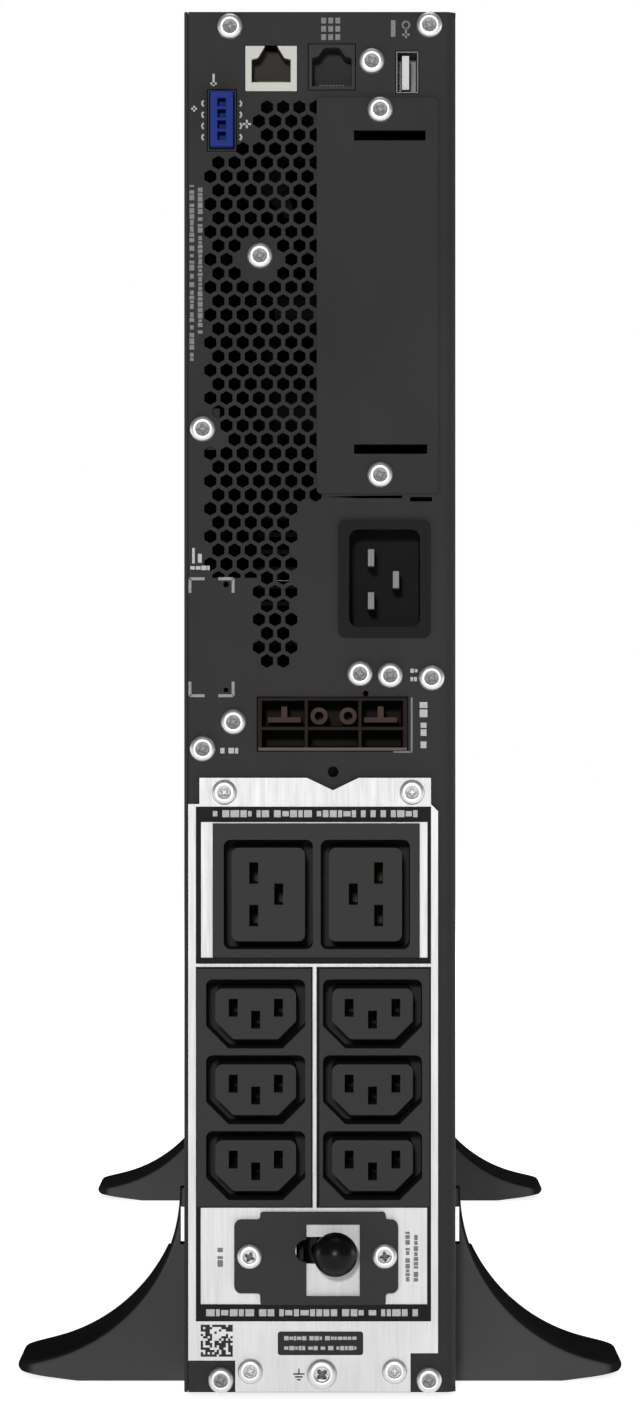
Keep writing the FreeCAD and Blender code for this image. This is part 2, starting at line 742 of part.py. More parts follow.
def make_jack(label, name, crown):
    """Modular jack: square mouth above a sill, and a stepped notch for the plug's latch."""
    left, right, low, high = d.rectangle(name)
    middle = (left + right) / 2
    sill = getattr(d, name + "_sill")
    body = new_body(label)
    outline = rear_sketch(body, -0.3)
    rectangle(outline, left, right, low, high)
    pad(body, outline, d.jack_back + 0.3)
    foot = rear_sketch(body, 2.5)
    rectangle(foot, left + 1, right - 1, 406.3, low + 1)
    pad(body, foot, d.jack_back - 2.5)
    half_mouth = [(6.1, sill), (6.1, 9.9), (4.1, 10.5), (2.9, 12.4), (1.8, crown)]
    right_side = [(middle + across, low + up) for across, up in half_mouth]
    left_side = [(middle - across, low + up) for across, up in reversed(half_mouth)]
    mouth = rear_sketch(body, -0.3)
    polygon(mouth, right_side + left_side)
    cut(body, mouth, 12.3)
    settle(body, label)


def make_usb():
    left, right, low, high = d.rectangle("usb")
    wall = d.usb_wall
    body = new_body("usb_shell")
    outline = rear_sketch(body, -0.4)
    rectangle(outline, left, right, low, high)
    pad(body, outline, 14.4)
    mouth = rear_sketch(body, -0.4)
    rectangle(mouth, left + wall, right - wall, low + wall, high - wall)
    cut(body, mouth, 13.4)
    settle(body, "usb_shell")
    tongue = slab("usb_tongue", corners(left + 1.9, left + 4.1, low + 1.2, high - 1.2), 0.8, 12.2)
    settle(tongue, "usb_tongue")


def stop_cells():
    left, right, low, high = d.rectangle("stop_plug")
    middle = (low + high) / 2
    return [((left + right) / 2, middle + 3.5 * (step - 1.5)) for step in range(4)]


def make_emergency_off():
    header = new_body("emergency_off_header")
    outline = rear_sketch(header, 0.2)
    rectangle(outline, *d.rectangle("stop_header"))
    pad(header, outline, 12.3)
    socket = rear_sketch(header, 0.2)
    rectangle(socket, *grown(d.rectangle("stop_plug"), 0.3))
    cut(header, socket, 10.3)
    seats = rear_sketch(header, 10.5)
    for x, z in stop_cells():
        rectangle(seats, x - 0.5, x + 0.5, z - 0.5, z + 0.5)
    cut(header, seats, 3)
    settle(header, "emergency_off_header")
    plug = new_body("emergency_off_plug")
    outline = rear_sketch(plug, -4)
    rectangle(outline, *d.rectangle("stop_plug"))
    pad(plug, outline, 13.8)
    for depth, half, forward in ((-4, 1.25, True), (9.8, 0.85, False)):
        cells = rear_sketch(plug, depth)
        for x, z in stop_cells():
            rectangle(cells, x - half, x + half, z - half, z + half)
        cut(plug, cells, 6.4 if forward else 7.3, forward)
    settle(plug, "emergency_off_plug")


def make_signal_contacts():
    """Spring wires of the two jacks and the pins of the emergency-off header."""
    wires = []
    for name in ("network", "serial"):
        left, right, low, high = d.rectangle(name)
        floor = low + getattr(d, name + "_sill")
        for step in range(8):
            middle = (left + right) / 2 + 1.02 * (step - 3.5)
            wires.append(box("jack_wire", (middle - 0.2, middle + 0.2), (1.5, 11.9),
                             (floor + 0.1, floor + 0.5)))
    for x, z in stop_cells():
        wires.append(box("stop_pin", (x - 0.45, x + 0.45), (3.2, 18), (z - 0.45, z + 0.45)))
    settle(collected("signal_contacts", wires), "signal_contacts")


def make_option_slot():
    left, right, low, high = d.rectangle("slot_cover")
    holes = [(x, z, d.screw_hole) for x, z in d.spots("cover_screw")]
    windows = [d.rectangle("finger_top"), d.rectangle("finger_low")]
    cover = slab("option_slot_cover", clipped(left, right, low, high, 0.8, 0.8), FACE,
                 d.plate_thick, holes, windows)
    settle(cover, "option_slot_cover")
    rails = []
    for bottom, top, groove in ((283.5, 288.5, 286.5), (399.3, 403.6, 399.3)):
        rail = box("rail", (3.5, 33.5), (6, 150), (bottom, top))
        rails.append(carved("grooved_rail", rail, [box("groove", (6, 8), (1, 151),
                                                       (groove - 0.1, groove + 2))]))
    settle(collected("option_slot_rails", rails), "option_slot_rails")
    block = box("connector_block", (2.5, 12), (150.2, 162), (300, 385))
    slot = box("connector_slot", (6.1, 7.9), (149, 158), (303, 382))
    settle(carved("option_slot_connector", block, [slot]), "option_slot_connector")


def make_battery_port():
    body = new_body("battery_port_housing")
    outline = rear_sketch(body, -0.8)
    rectangle(outline, *d.rectangle("port"))
    pad(body, outline, d.port_back + 0.8)
    wells = rear_sketch(body, -0.8)
    for left, right in ((-18.1, -4.9), (-3.7, 11.9), (13.1, 25.9)):
        rectangle(wells, left, right, 208.4, 216.4)
        rectangle(wells, left, right, 202.0, 207.2)
    cut(body, wells, 20.8)
    settle(body, "battery_port_housing")
    contacts = []
    for x, z in d.spots("port_power"):
        foot = box("power_foot", (x - 5.2, x + 5.2), (3, 20), (z - 2.4, z - 0.8))
        stem = box("power_stem", (x - 0.9, x + 0.9), (3, 20), (z - 1, z + 2.6))
        contacts.append(fused("power_contact", [foot, stem]))
    for x, z in d.spots("port_signal"):
        ring = rod("signal_ring", 2.7, (x, 3, z), 17, V(0, 1, 0))
        hole = rod("signal_hole", 1.4, (x, 2, z), 14, V(0, 1, 0))
        contacts.append(carved("signal_contact", ring, [hole]))
    settle(collected("battery_port_contacts", contacts), "battery_port_contacts")


# ---------------------------------------------------------------- input breaker
def make_breaker():
    x, y, z = d.pivot_x, d.pivot_y, d.pivot_z
    left, right, low, high = d.rectangle("breaker_block")
    block = box("breaker_block", (left, right), (0.2, 45), (low, high))
    well = box("breaker_well", (-9.5, 7), (0, 12), (z - 4.8, z + 4.8))
    bore = rod("breaker_bore", d.trunnion + d.running_gap, (x, y, z - 7.8), 15.6)
    settle(carved("breaker_body", block, [well, bore]), "breaker_body")

    guard = new_body("breaker_plate")
    start = FACE - d.guard_thick
    for name, radius in (("guard_ears", d.corner_round), ("guard", d.side_round)):
        outline = rear_sketch(guard, start)
        rectangle(outline, *d.rectangle(name))
        pad(guard, outline, d.guard_thick)
        sides = d.rectangle(name)[:2]
        soften(guard, "Fillet", radius, lambda p: any(near(p.x, side) for side in sides),
               corner_edges)
    window = rear_sketch(guard, start)
    left, right, low, high = d.rectangle("guard_window")
    rectangle(window, left, right, low, high)
    cut(guard, window, d.guard_thick)
    notch = rear_sketch(guard, start)
    circle(notch, left, z, 3.5)
    for across, up in d.spots("guard_screw"):
        circle(notch, across, up, d.screw_hole)
    cut(guard, notch, d.guard_thick)
    settle(guard, "breaker_plate")


def make_breaker_lever():
    """Round-knobbed toggle, drawn upright at its pivot and then leant over."""
    hub = rod("lever_hub", d.hub_radius, (0, 0, -4.2), 8.4)
    trunnion = rod("lever_trunnion", d.trunnion, (0, 0, -7.4), 14.8)
    neck = doc.addObject("Part::Cone", "lever_neck")
    bind(neck, "Radius1", 3.0)
    bind(neck, "Radius2", 2.4)
    bind(neck, "Height", d.lever_reach - 2)
    neck.Placement.Rotation = FreeCAD.Rotation(V(0, 0, 1), V(0, -1, 0))
    knob = doc.addObject("Part::Sphere", "lever_knob")
    bind(knob, "Radius", d.knob_radius)
    bind(knob, "Placement.Base.y", -d.lever_reach)
    lever = settle(fused("breaker_lever", [hub, trunnion, neck, knob]), "breaker_lever")
    lever.Placement.Rotation = FreeCAD.Rotation(V(0, 0, 1), d.lever_lean.value)
    bind(lever, "Placement.Base.x", d.pivot_x)
    bind(lever, "Placement.Base.y", d.pivot_y - d.rear_offset)
    bind(lever, "Placement.Base.z", d.pivot_z + d.foot_lug)


# ---------------------------------------------------------------- screws
def pan_screw(radius, rise, shank, reach):
    """Pan-head screw with its head's underside at the origin, its shank towards +Y."""
    head = Part.makeCylinder(radius, rise, V(0, -rise, 0), V(0, 1, 0))
    rim = [edge for edge in head.Edges if abs(edge.CenterOfMass.y + rise) < 1e-6]
    head = head.makeFillet(rise * 0.55, rim)
    recess = Part.makeCylinder(radius * 0.45, rise * 0.6, V(0, -rise, 0), V(0, 1, 0))
    stem = Part.makeCylinder(shank, reach, V(0, -0.3, 0), V(0, 1, 0))
    return head.cut(recess).fuse(stem)


def flat_screw(radius, shank, sink, reach):
    """Countersunk screw with the top of its head at the origin, its shank towards +Z."""
    head = Part.makeCone(radius, shank, sink)
    recess = Part.makeCylinder(radius * 0.4, sink * 0.5)
    return head.cut(recess).fuse(Part.makeCylinder(shank, reach, V(0, 0, sink - 0.01)))


def case_screw_places():
    return (60, 230, 400, 575)


def foot_screw_places():
    """Across and depth of the screws that hold the four feet's lugs."""
    places = []
    for start in (d.rear_foot_y.value, d.front_foot_y.value):
        for across in (-d.lug_screw.value, d.lug_screw.value):
            places += [(across, start + 12), (across, start + 39)]
    return places


def screw_group(label, screw, places):
    shapes = []
    for x, y, z in places:
        shape = screw.copy()
        shape.translate(V(x, y, z))
        shapes.append(shape)
    settle(feature(label, Part.makeCompound(shapes)), label)


def make_screws():
    screw = pan_screw(3.9, 2.2, 1.5, 6)
    on_panel = d.spots("panel_screw") + d.spots("vent_screw") + d.spots("side_screw")
    places = [(x.value, 0, z.value) for x, z in on_panel]
    places += [(x.value, FACE.value, z.value) for x, z in d.spots("cover_screw")]
    screw_group("panel_screws", screw, places)
    places = [(x.value, FACE.value, z.value) for x, z in d.spots("plate_screw")]
    guard = FACE.value - d.guard_thick.value
    places += [(x.value, guard, z.value) for x, z in d.spots("guard_screw")]
    screw_group("plate_screws", pan_screw(3.8, 1.6, 1.5, 5), places)
    across = d.cover_flange.value / 2 - HALF.value + d.cover_sheet.value
    down = flat_screw(3.1, 1.45, 1.4, 2.4)
    up = down.copy()
    up.rotate(V(0, 0, 0), V(1, 0, 0), 180)
    shapes = []
    for along in case_screw_places():
        for screw, height in ((down, 0), (up, d.case_height.value)):
            shape = screw.copy()
            shape.translate(V(across, along, height))
            shapes.append(shape)
    settle(feature("case_screws", Part.makeCompound(shapes)), "case_screws")
    places = [(across, along, -d.foot_lug.value + 0.4) for across, along in foot_screw_places()]
    screw_group("foot_screws", flat_screw(3.9, 2.0, 1.9, 4.6), places)


# ---------------------------------------------------------------- stabiliser feet
def arc_edges(shape, test):
    """Names of the edges where a foot's hollow flank meets its flat ends."""
    return [f"Edge{index}" for index, edge in enumerate(shape.Edges, start=1) if test(edge)]


def arc_test(edge):
    return edge.Curve.TypeId == "Part::GeomCircle" and near(edge.Curve.Radius, d.foot_arc)


def make_foot(label, side, start):
    """Foot with a hollow-curved flank, standing beside the case, and a lug below it."""
    inner = HALF + 0.15
    reach = d.foot_reach
    body = new_body(label)
    outline = rear_sketch(body, start)
    low = -d.foot_lug
    shape = [(d.lug_inner, low), (78, low), (reach - 1.4, low + 2.4), (reach, low + 3.4),
             (reach, low + d.foot_tip), (inner + 4.0, low + d.foot_top),
             (inner, low + d.foot_top), (inner, -0.05), (d.lug_inner, -0.05)]
    polygon(outline, [(length(across) * side, up) for across, up in shape])
    pad(body, outline, d.foot_length)
    flank = rear_sketch(body, start - 1)
    circle(flank, d.arc_across * side, low + d.arc_up, d.foot_arc)
    cut(body, flank, d.foot_length + 2)
    tips = edges_where(body.Shape, lambda p: near(abs(p.x), reach))
    upright = [name for name in tips
               if near(body.Shape.getElement(name).Vertexes[0].Y,
                       body.Shape.getElement(name).Vertexes[1].Y)]
    rounding = body.newObject("PartDesign::Fillet", "foot_rounding")
    rounding.Base = (rounding.BaseFeature, upright)
    bind(rounding, "Radius", d.toe_round)
    doc.recompute()
    soften(body, "Fillet", d.arc_round, arc_test, arc_edges)
    slit = rear_sketch(body, start - 1)
    edges = sorted([(inner - 1) * side, (inner + d.slit_wide) * side], key=lambda size: size.value)
    rectangle(slit, *edges, low + d.slit_low, low + d.slit_high)
    cut(body, slit, d.foot_length + 2)
    crest = rear_sketch(body, start + d.crest_length)
    edges = sorted([(inner - 1) * side, (inner + d.crest_wide) * side], key=lambda size: size.value)
    rectangle(crest, *edges, low + d.crest_low, low + d.foot_top + 1)
    cut(body, crest, d.foot_length)
    holes = plan_sketch(body, low - 0.1)
    sinks = plan_sketch(body, low)
    for across, along in foot_screw_places():
        if across * side > 0 and start.value < along < start.value + d.foot_length.value:
            circle(holes, across, along, 2.2)
            circle(sinks, across, along, 4.2)
    cut(body, holes, d.foot_lug + 0.2)
    cut(body, sinks, 2.3)
    settle(body, label)


def make_feet():
    for name, start in (("rear", d.rear_foot_y), ("front", d.front_foot_y)):
        make_foot(f"foot_{name}_left", -1, start)
        make_foot(f"foot_{name}_right", 1, start)


# ---------------------------------------------------------------- inside: boards and power parts
def make_boards():
    body = new_body("comms_board")
    plan = plan_sketch(body, 404.7)
    polygon(plan, [(-25.4, 2), (33.5, 2), (33.5, 95), (-36, 95), (-36, 13.5), (-25.4, 13.5)])
    pad(body, plan, 1.6)
    settle(body, "comms_board")
    boards = [box("inverter_board", (36.4, 38.0), (60, 292), (242, 426)),
              box("charger_board", (36.4, 38.0), (332, 588), (242, 426))]
    settle(collected("power_boards", boards), "power_boards")
    plane = slab("filter_board", corners(-38, 38, 8, 192), 56, 1.6)
    settle(plane, "filter_board")


def make_heatsinks():
    """Two extrusions whose fins lie along the air's way through the case."""
    items = []
    for start, end in ((172, 286), (340, 462)):
        body = new_body("heatsink")
        profile = rear_sketch(body, start)
        rectangle(profile, 29, 34, 250, 282)
        pad(body, profile, end - start)
        fins = rear_sketch(body, start)
        for index in range(6):
            rectangle(fins, -22, 29.5, 250 + 6.1 * index, 251.5 + 6.1 * index)
        pad(body, fins, end - start)
        items.append(body)
    settle(collected("heatsinks", items), "heatsinks")


def make_capacitors_and_inductors():
    cans = []
    for along in (186, 222, 258, 490, 526, 562):
        for up in (318, 354):
            cans.append(rod("capacitor", 14, (-16, along, up), 52.2, V(1, 0, 0)))
    settle(collected("bus_capacitors", cans), "bus_capacitors")
    rings = []
    for along in (372, 424):
        for across in (0, 24):
            ring = doc.addObject("Part::Torus", "inductor")
            bind(ring, "Radius1", 15.5)
            bind(ring, "Radius2", 8.0)
            ring.Placement.Rotation = FreeCAD.Rotation(V(0, 0, 1), V(1, 0, 0))
            for letter, place in zip("xyz", (across, along, 322)):
                bind(ring, "Placement.Base." + letter, place)
            rings.append(ring)
    settle(collected("power_inductors", rings), "power_inductors")


# ---------------------------------------------------------------- inside: fans
def fan_centres():
    return {"upper": d.upper_fan_z, "lower": d.lower_fan_z}


def make_fan_frame(middle):
    half = d.fan_size / 2
    back = d.fan_y + d.fan_depth
    outer = box("fan_outer", (-half, half), (d.fan_y, back), (middle - half, middle + half))
    bore = rod("fan_bore", d.fan_bore, (0, d.fan_y - 1, middle), d.fan_depth + 2, V(0, 1, 0))
    ring = carved("fan_ring", outer, [bore])
    hub = rod("fan_hub", 14, (0, back - 6, middle), 6, V(0, 1, 0))
    struts = []
    for turn in range(4):
        strut = doc.addObject("Part::Box", "fan_strut")
        bind(strut, "Length", d.fan_bore - 12)
        bind(strut, "Width", 4)
        bind(strut, "Height", 3)
        spin = FreeCAD.Rotation(V(0, 1, 0), 45 + 90 * turn)
        strut.Placement.Rotation = spin
        start = spin.multVec(V(13, 0, -1.5))
        bind(strut, "Placement.Base.x", start.x)
        bind(strut, "Placement.Base.y", back - 4)
        bind(strut, "Placement.Base.z", middle + start.z)
        struts.append(strut)
    solid = fused("fan_solid", [ring, hub] + struts)
    bearing = rod("fan_bearing", d.trunnion + d.running_gap, (0, back - 7, middle), 8, V(0, 1, 0))
    return carved("fan_frame", solid, [bearing])


def make_rotor(label, middle):
    """Hub with pitched blades, trimmed to a round tip circle, on its shaft."""
    front = d.fan_y.value + 1
    hub = Part.makeCylinder(d.rotor_hub.value, 17.4, V(0, front, 0), V(0, 1, 0))
    blades = []
    for index in range(int(d.fan_blades.value)):
        blade = Part.makeBox(26, 1.5, 19, V(12, -0.75, -9.5))
        blade.rotate(V(0, 0, 0), V(1, 0, 0), 52)
        blade.rotate(V(0, 0, 0), V(0, 1, 0), index * 360 / d.fan_blades.value)
        blade.translate(V(0, front + 8.6, 0))
        blades.append(blade)
    envelope = Part.makeCylinder(d.blade_tip.value, 17.4, V(0, front, 0), V(0, 1, 0))
    shaft = Part.makeCylinder(d.trunnion.value, 6.2, V(0, front + 17.2, 0), V(0, 1, 0))
    shape = hub.multiFuse(blades).common(envelope).fuse(shaft)
    shape.translate(V(0, 0, middle.value))
    settle(feature(label, Part.makeCompound([shape])), label)


def make_fans():
    centres = fan_centres()
    frames = [make_fan_frame(middle) for middle in centres.values()]
    settle(collected("fan_frames", frames), "fan_frames")
    for name, middle in centres.items():
        make_rotor("fan_rotor_" + name, middle)
    bracket = slab("fan_bracket", corners(LEFT + 0.4, HALF - d.sheet_thick - 0.2, 239, 429), 298.3,
                   1.5, holes=[(0, middle, d.fan_bore) for middle in centres.values()])
    settle(bracket, "fan_bracket")


# ---------------------------------------------------------------- inside: batteries
def make_batteries():
    trays, blocks = [], []
    left, right = d.battery_left - 0.5, d.battery_right + 0.5
    end = d.battery_y + d.battery_step * 4 + 1
    for low in (d.battery_low, d.battery_high):
        profile_body = new_body("battery_tray")
        profile = rear_sketch(profile_body, d.battery_y - 3)
        floor = low - 1.2
        polygon(profile, [(left - 1, floor), (right + 1, floor), (right + 1, low + 60),
                          (right, low + 60), (right, low - 0.2), (left, low - 0.2),
                          (left, low + 60), (left - 1, low + 60)])
        pad(profile_body, profile, end - d.battery_y + 3)
        lip = rear_sketch(profile_body, end)
        rectangle(lip, left - 1, right + 1, floor, low + 70)
        pad(profile_body, lip, 1)
        trays.append(profile_body)
        for index in range(4):
            start = d.battery_y + d.battery_step * index
            case = box("battery_case", (d.battery_left, d.battery_right),
                       (start, start + d.battery_length), (low, low + d.battery_tall))
            posts = [box("battery_post", (x, x + 6), (start + y, start + y + 6),
                         (low + d.battery_tall - 0.1, low + d.battery_tall + 5))
                     for x, y in ((-28, 8), (22, 8))]
            blocks.append(fused("battery_block", [case] + posts))
    settle(collected("battery_trays", trays), "battery_trays")
    settle(collected("battery_blocks", blocks), "battery_blocks")


# ---------------------------------------------------------------- front display
def make_display():
    z = d.display_z
    front = d.dish_front
    bracket = slab("display_bracket", clipped(-21, 21, z - 24, z + 24, 4, 4),
                   d.frame_y + d.sheet_thick, 2.5, holes=[(0, z, d.dish_hub + d.running_gap)])
    settle(bracket, "display_bracket")

    dish = new_body("display_cassette")
    outline = rear_sketch(dish, 606.2)
    circle(outline, 0, z, d.dish_radius)
    pad(dish, outline, front - 606.2)
    soften_rim = dish.newObject("PartDesign::Fillet", "dish_rim")
    rim = [f"Edge{i}" for i, edge in enumerate(soften_rim.BaseFeature.Shape.Edges, start=1)
           if near(edge.CenterOfMass.y, front)]
    soften_rim.Base = (soften_rim.BaseFeature, rim)
    soften_rim.Radius = 1.2
    doc.recompute()
    hollow = rear_sketch(dish, 606.2)
    circle(hollow, 0, z, d.dish_radius - 2.2)
    cut(dish, hollow, front - 606.2 - 4)
    left, right, low, high = d.rectangle("screen")
    recess = rear_sketch(dish, front - 1.5)
    rectangle(recess, left, right, low, high)
    cut(dish, recess, 3)
    openings = rear_sketch(dish, front - 5)
    rectangle(openings, left + 2.5, right - 2.5, low + 2.5, high - 2.5)
    for x, up in d.spots("key"):
        circle(openings, x, up, d.cap_radius + d.cap_gap)
    for x, up in d.spots("power_key"):
        circle(openings, x, up, d.power_radius + d.cap_gap)
    cut(dish, openings, 6)
    settle(dish, "display_cassette")

    back = new_body("display_back")
    plate = rear_sketch(back, 603.6)
    circle(plate, 0, z, d.dish_radius)
    pad(back, plate, 2.6)
    hub = rear_sketch(back, 592.6)
    circle(hub, 0, z, d.dish_hub)
    pad(back, hub, 12)
    lip = rear_sketch(back, 592.6)
    circle(lip, 0, z, d.dish_hub + 1.2)
    pad(back, lip, 2.0)
    settle(back, "display_back")

    board = slab("display_board", corners(-22.5, 22.5, z - 16, z + 18), 617, 1.6)
    settle(board, "display_board")
    window = slab("display_window", corners(left + 0.1, right - 0.1, low + 0.1, high - 0.1),
                  front - 1.5, 1.5)
    settle(window, "display_window")


def make_keys():
    """Round caps that travel in the display's face, each held by a flange behind it."""
    names = ("button_escape", "button_down", "button_up", "button_enter")
    keys = [(name, spot, d.cap_radius) for name, spot in zip(names, d.spots("key"))]
    keys.append(("button_power", d.spots("power_key")[0], d.power_radius))
    wall = d.dish_front - 4
    for label, (x, z), radius in keys:
        cap = new_body(label)
        flange = rear_sketch(cap, wall - 1.8)
        circle(flange, x, z, radius + 1)
        pad(cap, flange, 1.5)
        stem = rear_sketch(cap, wall - 0.5)
        circle(stem, x, z, radius)
        pad(cap, stem, d.cap_front - wall + 0.5)
        settle(cap, label)


# ---------------------------------------------------------------- check and write
def write_parts():
    """Refuse any failed object or bad shape, then write one file for each sub-part."""
    doc.recompute()
    for item in doc.Objects:
        if "Invalid" in item.State or "Error" in item.State:
            raise ValueError(f"{item.Name} failed: {item.State}")
    for item in finished:
        if item.Shape.isNull() or not item.Shape.isValid():
            raise ValueError(item.Label + " has no valid shape")
    os.makedirs("parts", exist_ok=True)
    for item in finished:
        item.Shape.exportStep(f"parts/{item.Label}.step")
    print(len(finished), "sub-parts")


def main():
    make_rear_panel()
    make_chassis_tray()
    make_side_cover()
    make_front_frame()
    make_bay_divider()
    make_battery_retainer()
    make_front_bezel()
    make_output_plate()
    make_output_labels()
    make_outlets()
    make_outlet_contacts()
    make_inlet()
    make_jack("network_jack", "network", crown=14.4)
    make_jack("serial_jack", "serial", crown=13.2)
    make_usb()
    make_emergency_off()
    make_signal_contacts()
    make_option_slot()
    make_battery_port()
    make_breaker()
    make_breaker_lever()
    make_screws()
    make_feet()
    make_boards()
    make_heatsinks()
    make_capacitors_and_inductors()
    make_fans()
    make_batteries()
    make_display()
    make_keys()
    write_parts()


main()
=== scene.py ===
import json
import math
import random

import bmesh
import bpy
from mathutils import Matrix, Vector


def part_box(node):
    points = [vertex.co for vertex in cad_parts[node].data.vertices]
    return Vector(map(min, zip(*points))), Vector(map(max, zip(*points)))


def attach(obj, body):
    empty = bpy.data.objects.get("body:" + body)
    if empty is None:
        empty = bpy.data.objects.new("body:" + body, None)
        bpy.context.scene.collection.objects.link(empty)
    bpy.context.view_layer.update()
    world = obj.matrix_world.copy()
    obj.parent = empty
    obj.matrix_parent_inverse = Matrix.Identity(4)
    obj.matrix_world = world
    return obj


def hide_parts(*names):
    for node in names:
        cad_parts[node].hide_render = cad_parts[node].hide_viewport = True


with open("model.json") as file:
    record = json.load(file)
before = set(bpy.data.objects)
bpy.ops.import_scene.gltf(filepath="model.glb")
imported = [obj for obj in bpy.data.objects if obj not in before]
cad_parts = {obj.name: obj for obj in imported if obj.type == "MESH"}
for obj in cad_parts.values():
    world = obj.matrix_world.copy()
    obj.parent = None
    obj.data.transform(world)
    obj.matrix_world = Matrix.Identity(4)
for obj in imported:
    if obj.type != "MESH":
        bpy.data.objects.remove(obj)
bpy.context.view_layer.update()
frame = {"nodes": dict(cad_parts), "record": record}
MM = 0.001

# Places on the rear face are across from its middle and up from the case's bottom edge, in mm.
PANEL_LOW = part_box("rear_panel")[0]
CASE_BOTTOM = PANEL_LOW[2]
PANEL_FACE = PANEL_LOW[1]
PLATE_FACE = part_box("output_plate")[0][1]
LABEL_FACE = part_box("output_labels")[0][1]
INK = 0.04 * MM          # thickness of a print


def spot(across, up, depth):
    """Point on the rear face from its places in mm and its depth in metres."""
    return Vector((across * MM, depth, CASE_BOTTOM + up * MM))


# ---------------------------------------------------------------- shaders
class Shader:
    """A Principled material with a few procedural helpers."""

    def __init__(self, name, roughness=0.5, metallic=0.0, **sockets):
        self.material = bpy.data.materials.new(name)
        self.material.use_nodes = True
        self.nodes = self.material.node_tree.nodes
        self.links = self.material.node_tree.links
        self.surface = self.nodes["Principled BSDF"]
        self.surface.inputs["Roughness"].default_value = roughness
        self.surface.inputs["Metallic"].default_value = metallic
        for socket, size in sockets.items():
            title = socket.replace("_", " ").title().replace("Ior", "IOR")
            self.surface.inputs[title].default_value = size
        self.place = self.nodes.new("ShaderNodeTexCoord").outputs["Object"]

    def stretched(self, scale):
        mapping = self.nodes.new("ShaderNodeMapping")
        mapping.inputs["Scale"].default_value = scale
        self.links.new(self.place, mapping.inputs["Vector"])
        return mapping.outputs["Vector"]

    def noise(self, scale, detail=3.0, grain=0.55, stretch=None):
        node = self.nodes.new("ShaderNodeTexNoise")
        node.inputs["Scale"].default_value = scale
        node.inputs["Detail"].default_value = detail
        node.inputs["Roughness"].default_value = grain
        self.links.new(self.stretched(stretch) if stretch else self.place, node.inputs["Vector"])
        return node.outputs["Fac"]

    def cells(self, scale):
        node = self.nodes.new("ShaderNodeTexVoronoi")
        node.inputs["Scale"].default_value = scale
        self.links.new(self.place, node.inputs["Vector"])
        return node.outputs["Distance"]

    def bands(self, scale, direction, distortion):
        node = self.nodes.new("ShaderNodeTexWave")
        node.bands_direction = direction
        node.inputs["Scale"].default_value = scale
        node.inputs["Distortion"].default_value = distortion
        self.links.new(self.place, node.inputs["Vector"])
        return node.outputs["Fac"]

    def ramp(self, value, *stops):
        node = self.nodes.new("ShaderNodeValToRGB")
        while len(node.color_ramp.elements) < len(stops):
            node.color_ramp.elements.new(0.5)
        for element, (place, colour) in zip(node.color_ramp.elements, stops):
            element.position = place
            element.color = (*colour, 1) if isinstance(colour, tuple) else (colour,) * 3 + (1,)
        self.links.new(value, node.inputs["Fac"])
        return node.outputs["Color"]

    def mixed(self, factor, first, second):
        node = self.nodes.new("ShaderNodeMix")
        node.data_type = "RGBA"
        self.links.new(factor, node.inputs["Factor"])
        for socket, value in (("A", first), ("B", second)):
            target = next(item for item in node.inputs
                          if item.name == socket and item.type == "RGBA")
            self.links.new(value, target)
        return next(item for item in node.outputs if item.type == "RGBA")

    def painted_depth_shade(self, value, tone, start, end):
        """Colour that turns to a dark tone between two depths in mm behind the rear face: painted
        shade deeper inside openings.
        """
        split = self.nodes.new("ShaderNodeSeparateXYZ")
        self.links.new(self.place, split.inputs["Vector"])
        reach = self.nodes.new("ShaderNodeMapRange")
        reach.inputs["From Min"].default_value = PANEL_FACE + start * MM
        reach.inputs["From Max"].default_value = PANEL_FACE + end * MM
        self.links.new(split.outputs["Y"], reach.inputs["Value"])
        dark = self.ramp(self.noise(90), (0.3, shade(tone, 0.8)), (0.7, shade(tone, 1.2)))
        return self.mixed(reach.outputs["Result"], value, dark)

    def feed(self, socket, value):
        self.links.new(value, self.surface.inputs[socket])

    def bump(self, *layers):
        """Stack height fields given as value, strength and depth in mm."""
        normal = None
        for value, strength, depth in layers:
            node = self.nodes.new("ShaderNodeBump")
            node.inputs["Strength"].default_value = strength
            node.inputs["Distance"].default_value = depth * MM
            self.links.new(value, node.inputs["Height"])
            if normal:
                self.links.new(normal, node.inputs["Normal"])
            normal = node.outputs["Normal"]
        self.feed("Normal", normal)


def shade(tone, spread):
    """A grey or colour a little lighter or darker."""
    if isinstance(tone, tuple):
        return tuple(channel * spread for channel in tone)
    return tone * spread


def powder_coat(name, tone):
    """Fine-textured satin powder coat with faint clouding and light handling marks."""
    coat = Shader(name, roughness=0.68, specular_ior_level=0.2)
    clouds = coat.noise(7, 4)
    scuffs = coat.noise(38, 6, 0.7, stretch=(1, 0.5, 0.35))
    base = coat.ramp(clouds, (0.3, shade(tone, 0.86)), (0.72, shade(tone, 1.16)))
    worn = coat.ramp(clouds, (0.3, shade(tone, 1.25)), (0.72, shade(tone, 1.5)))
    marks = coat.ramp(scuffs, (0.62, 0.0), (0.8, 1.0))
    coat.feed("Base Color", coat.mixed(marks, base, worn))
    coat.feed("Roughness", coat.ramp(scuffs, (0.3, 0.62), (0.75, 0.74)))
    coat.bump((coat.noise(1500, 2), 0.35, 0.05), (coat.noise(420, 1), 0.25, 0.06))
    return coat.material


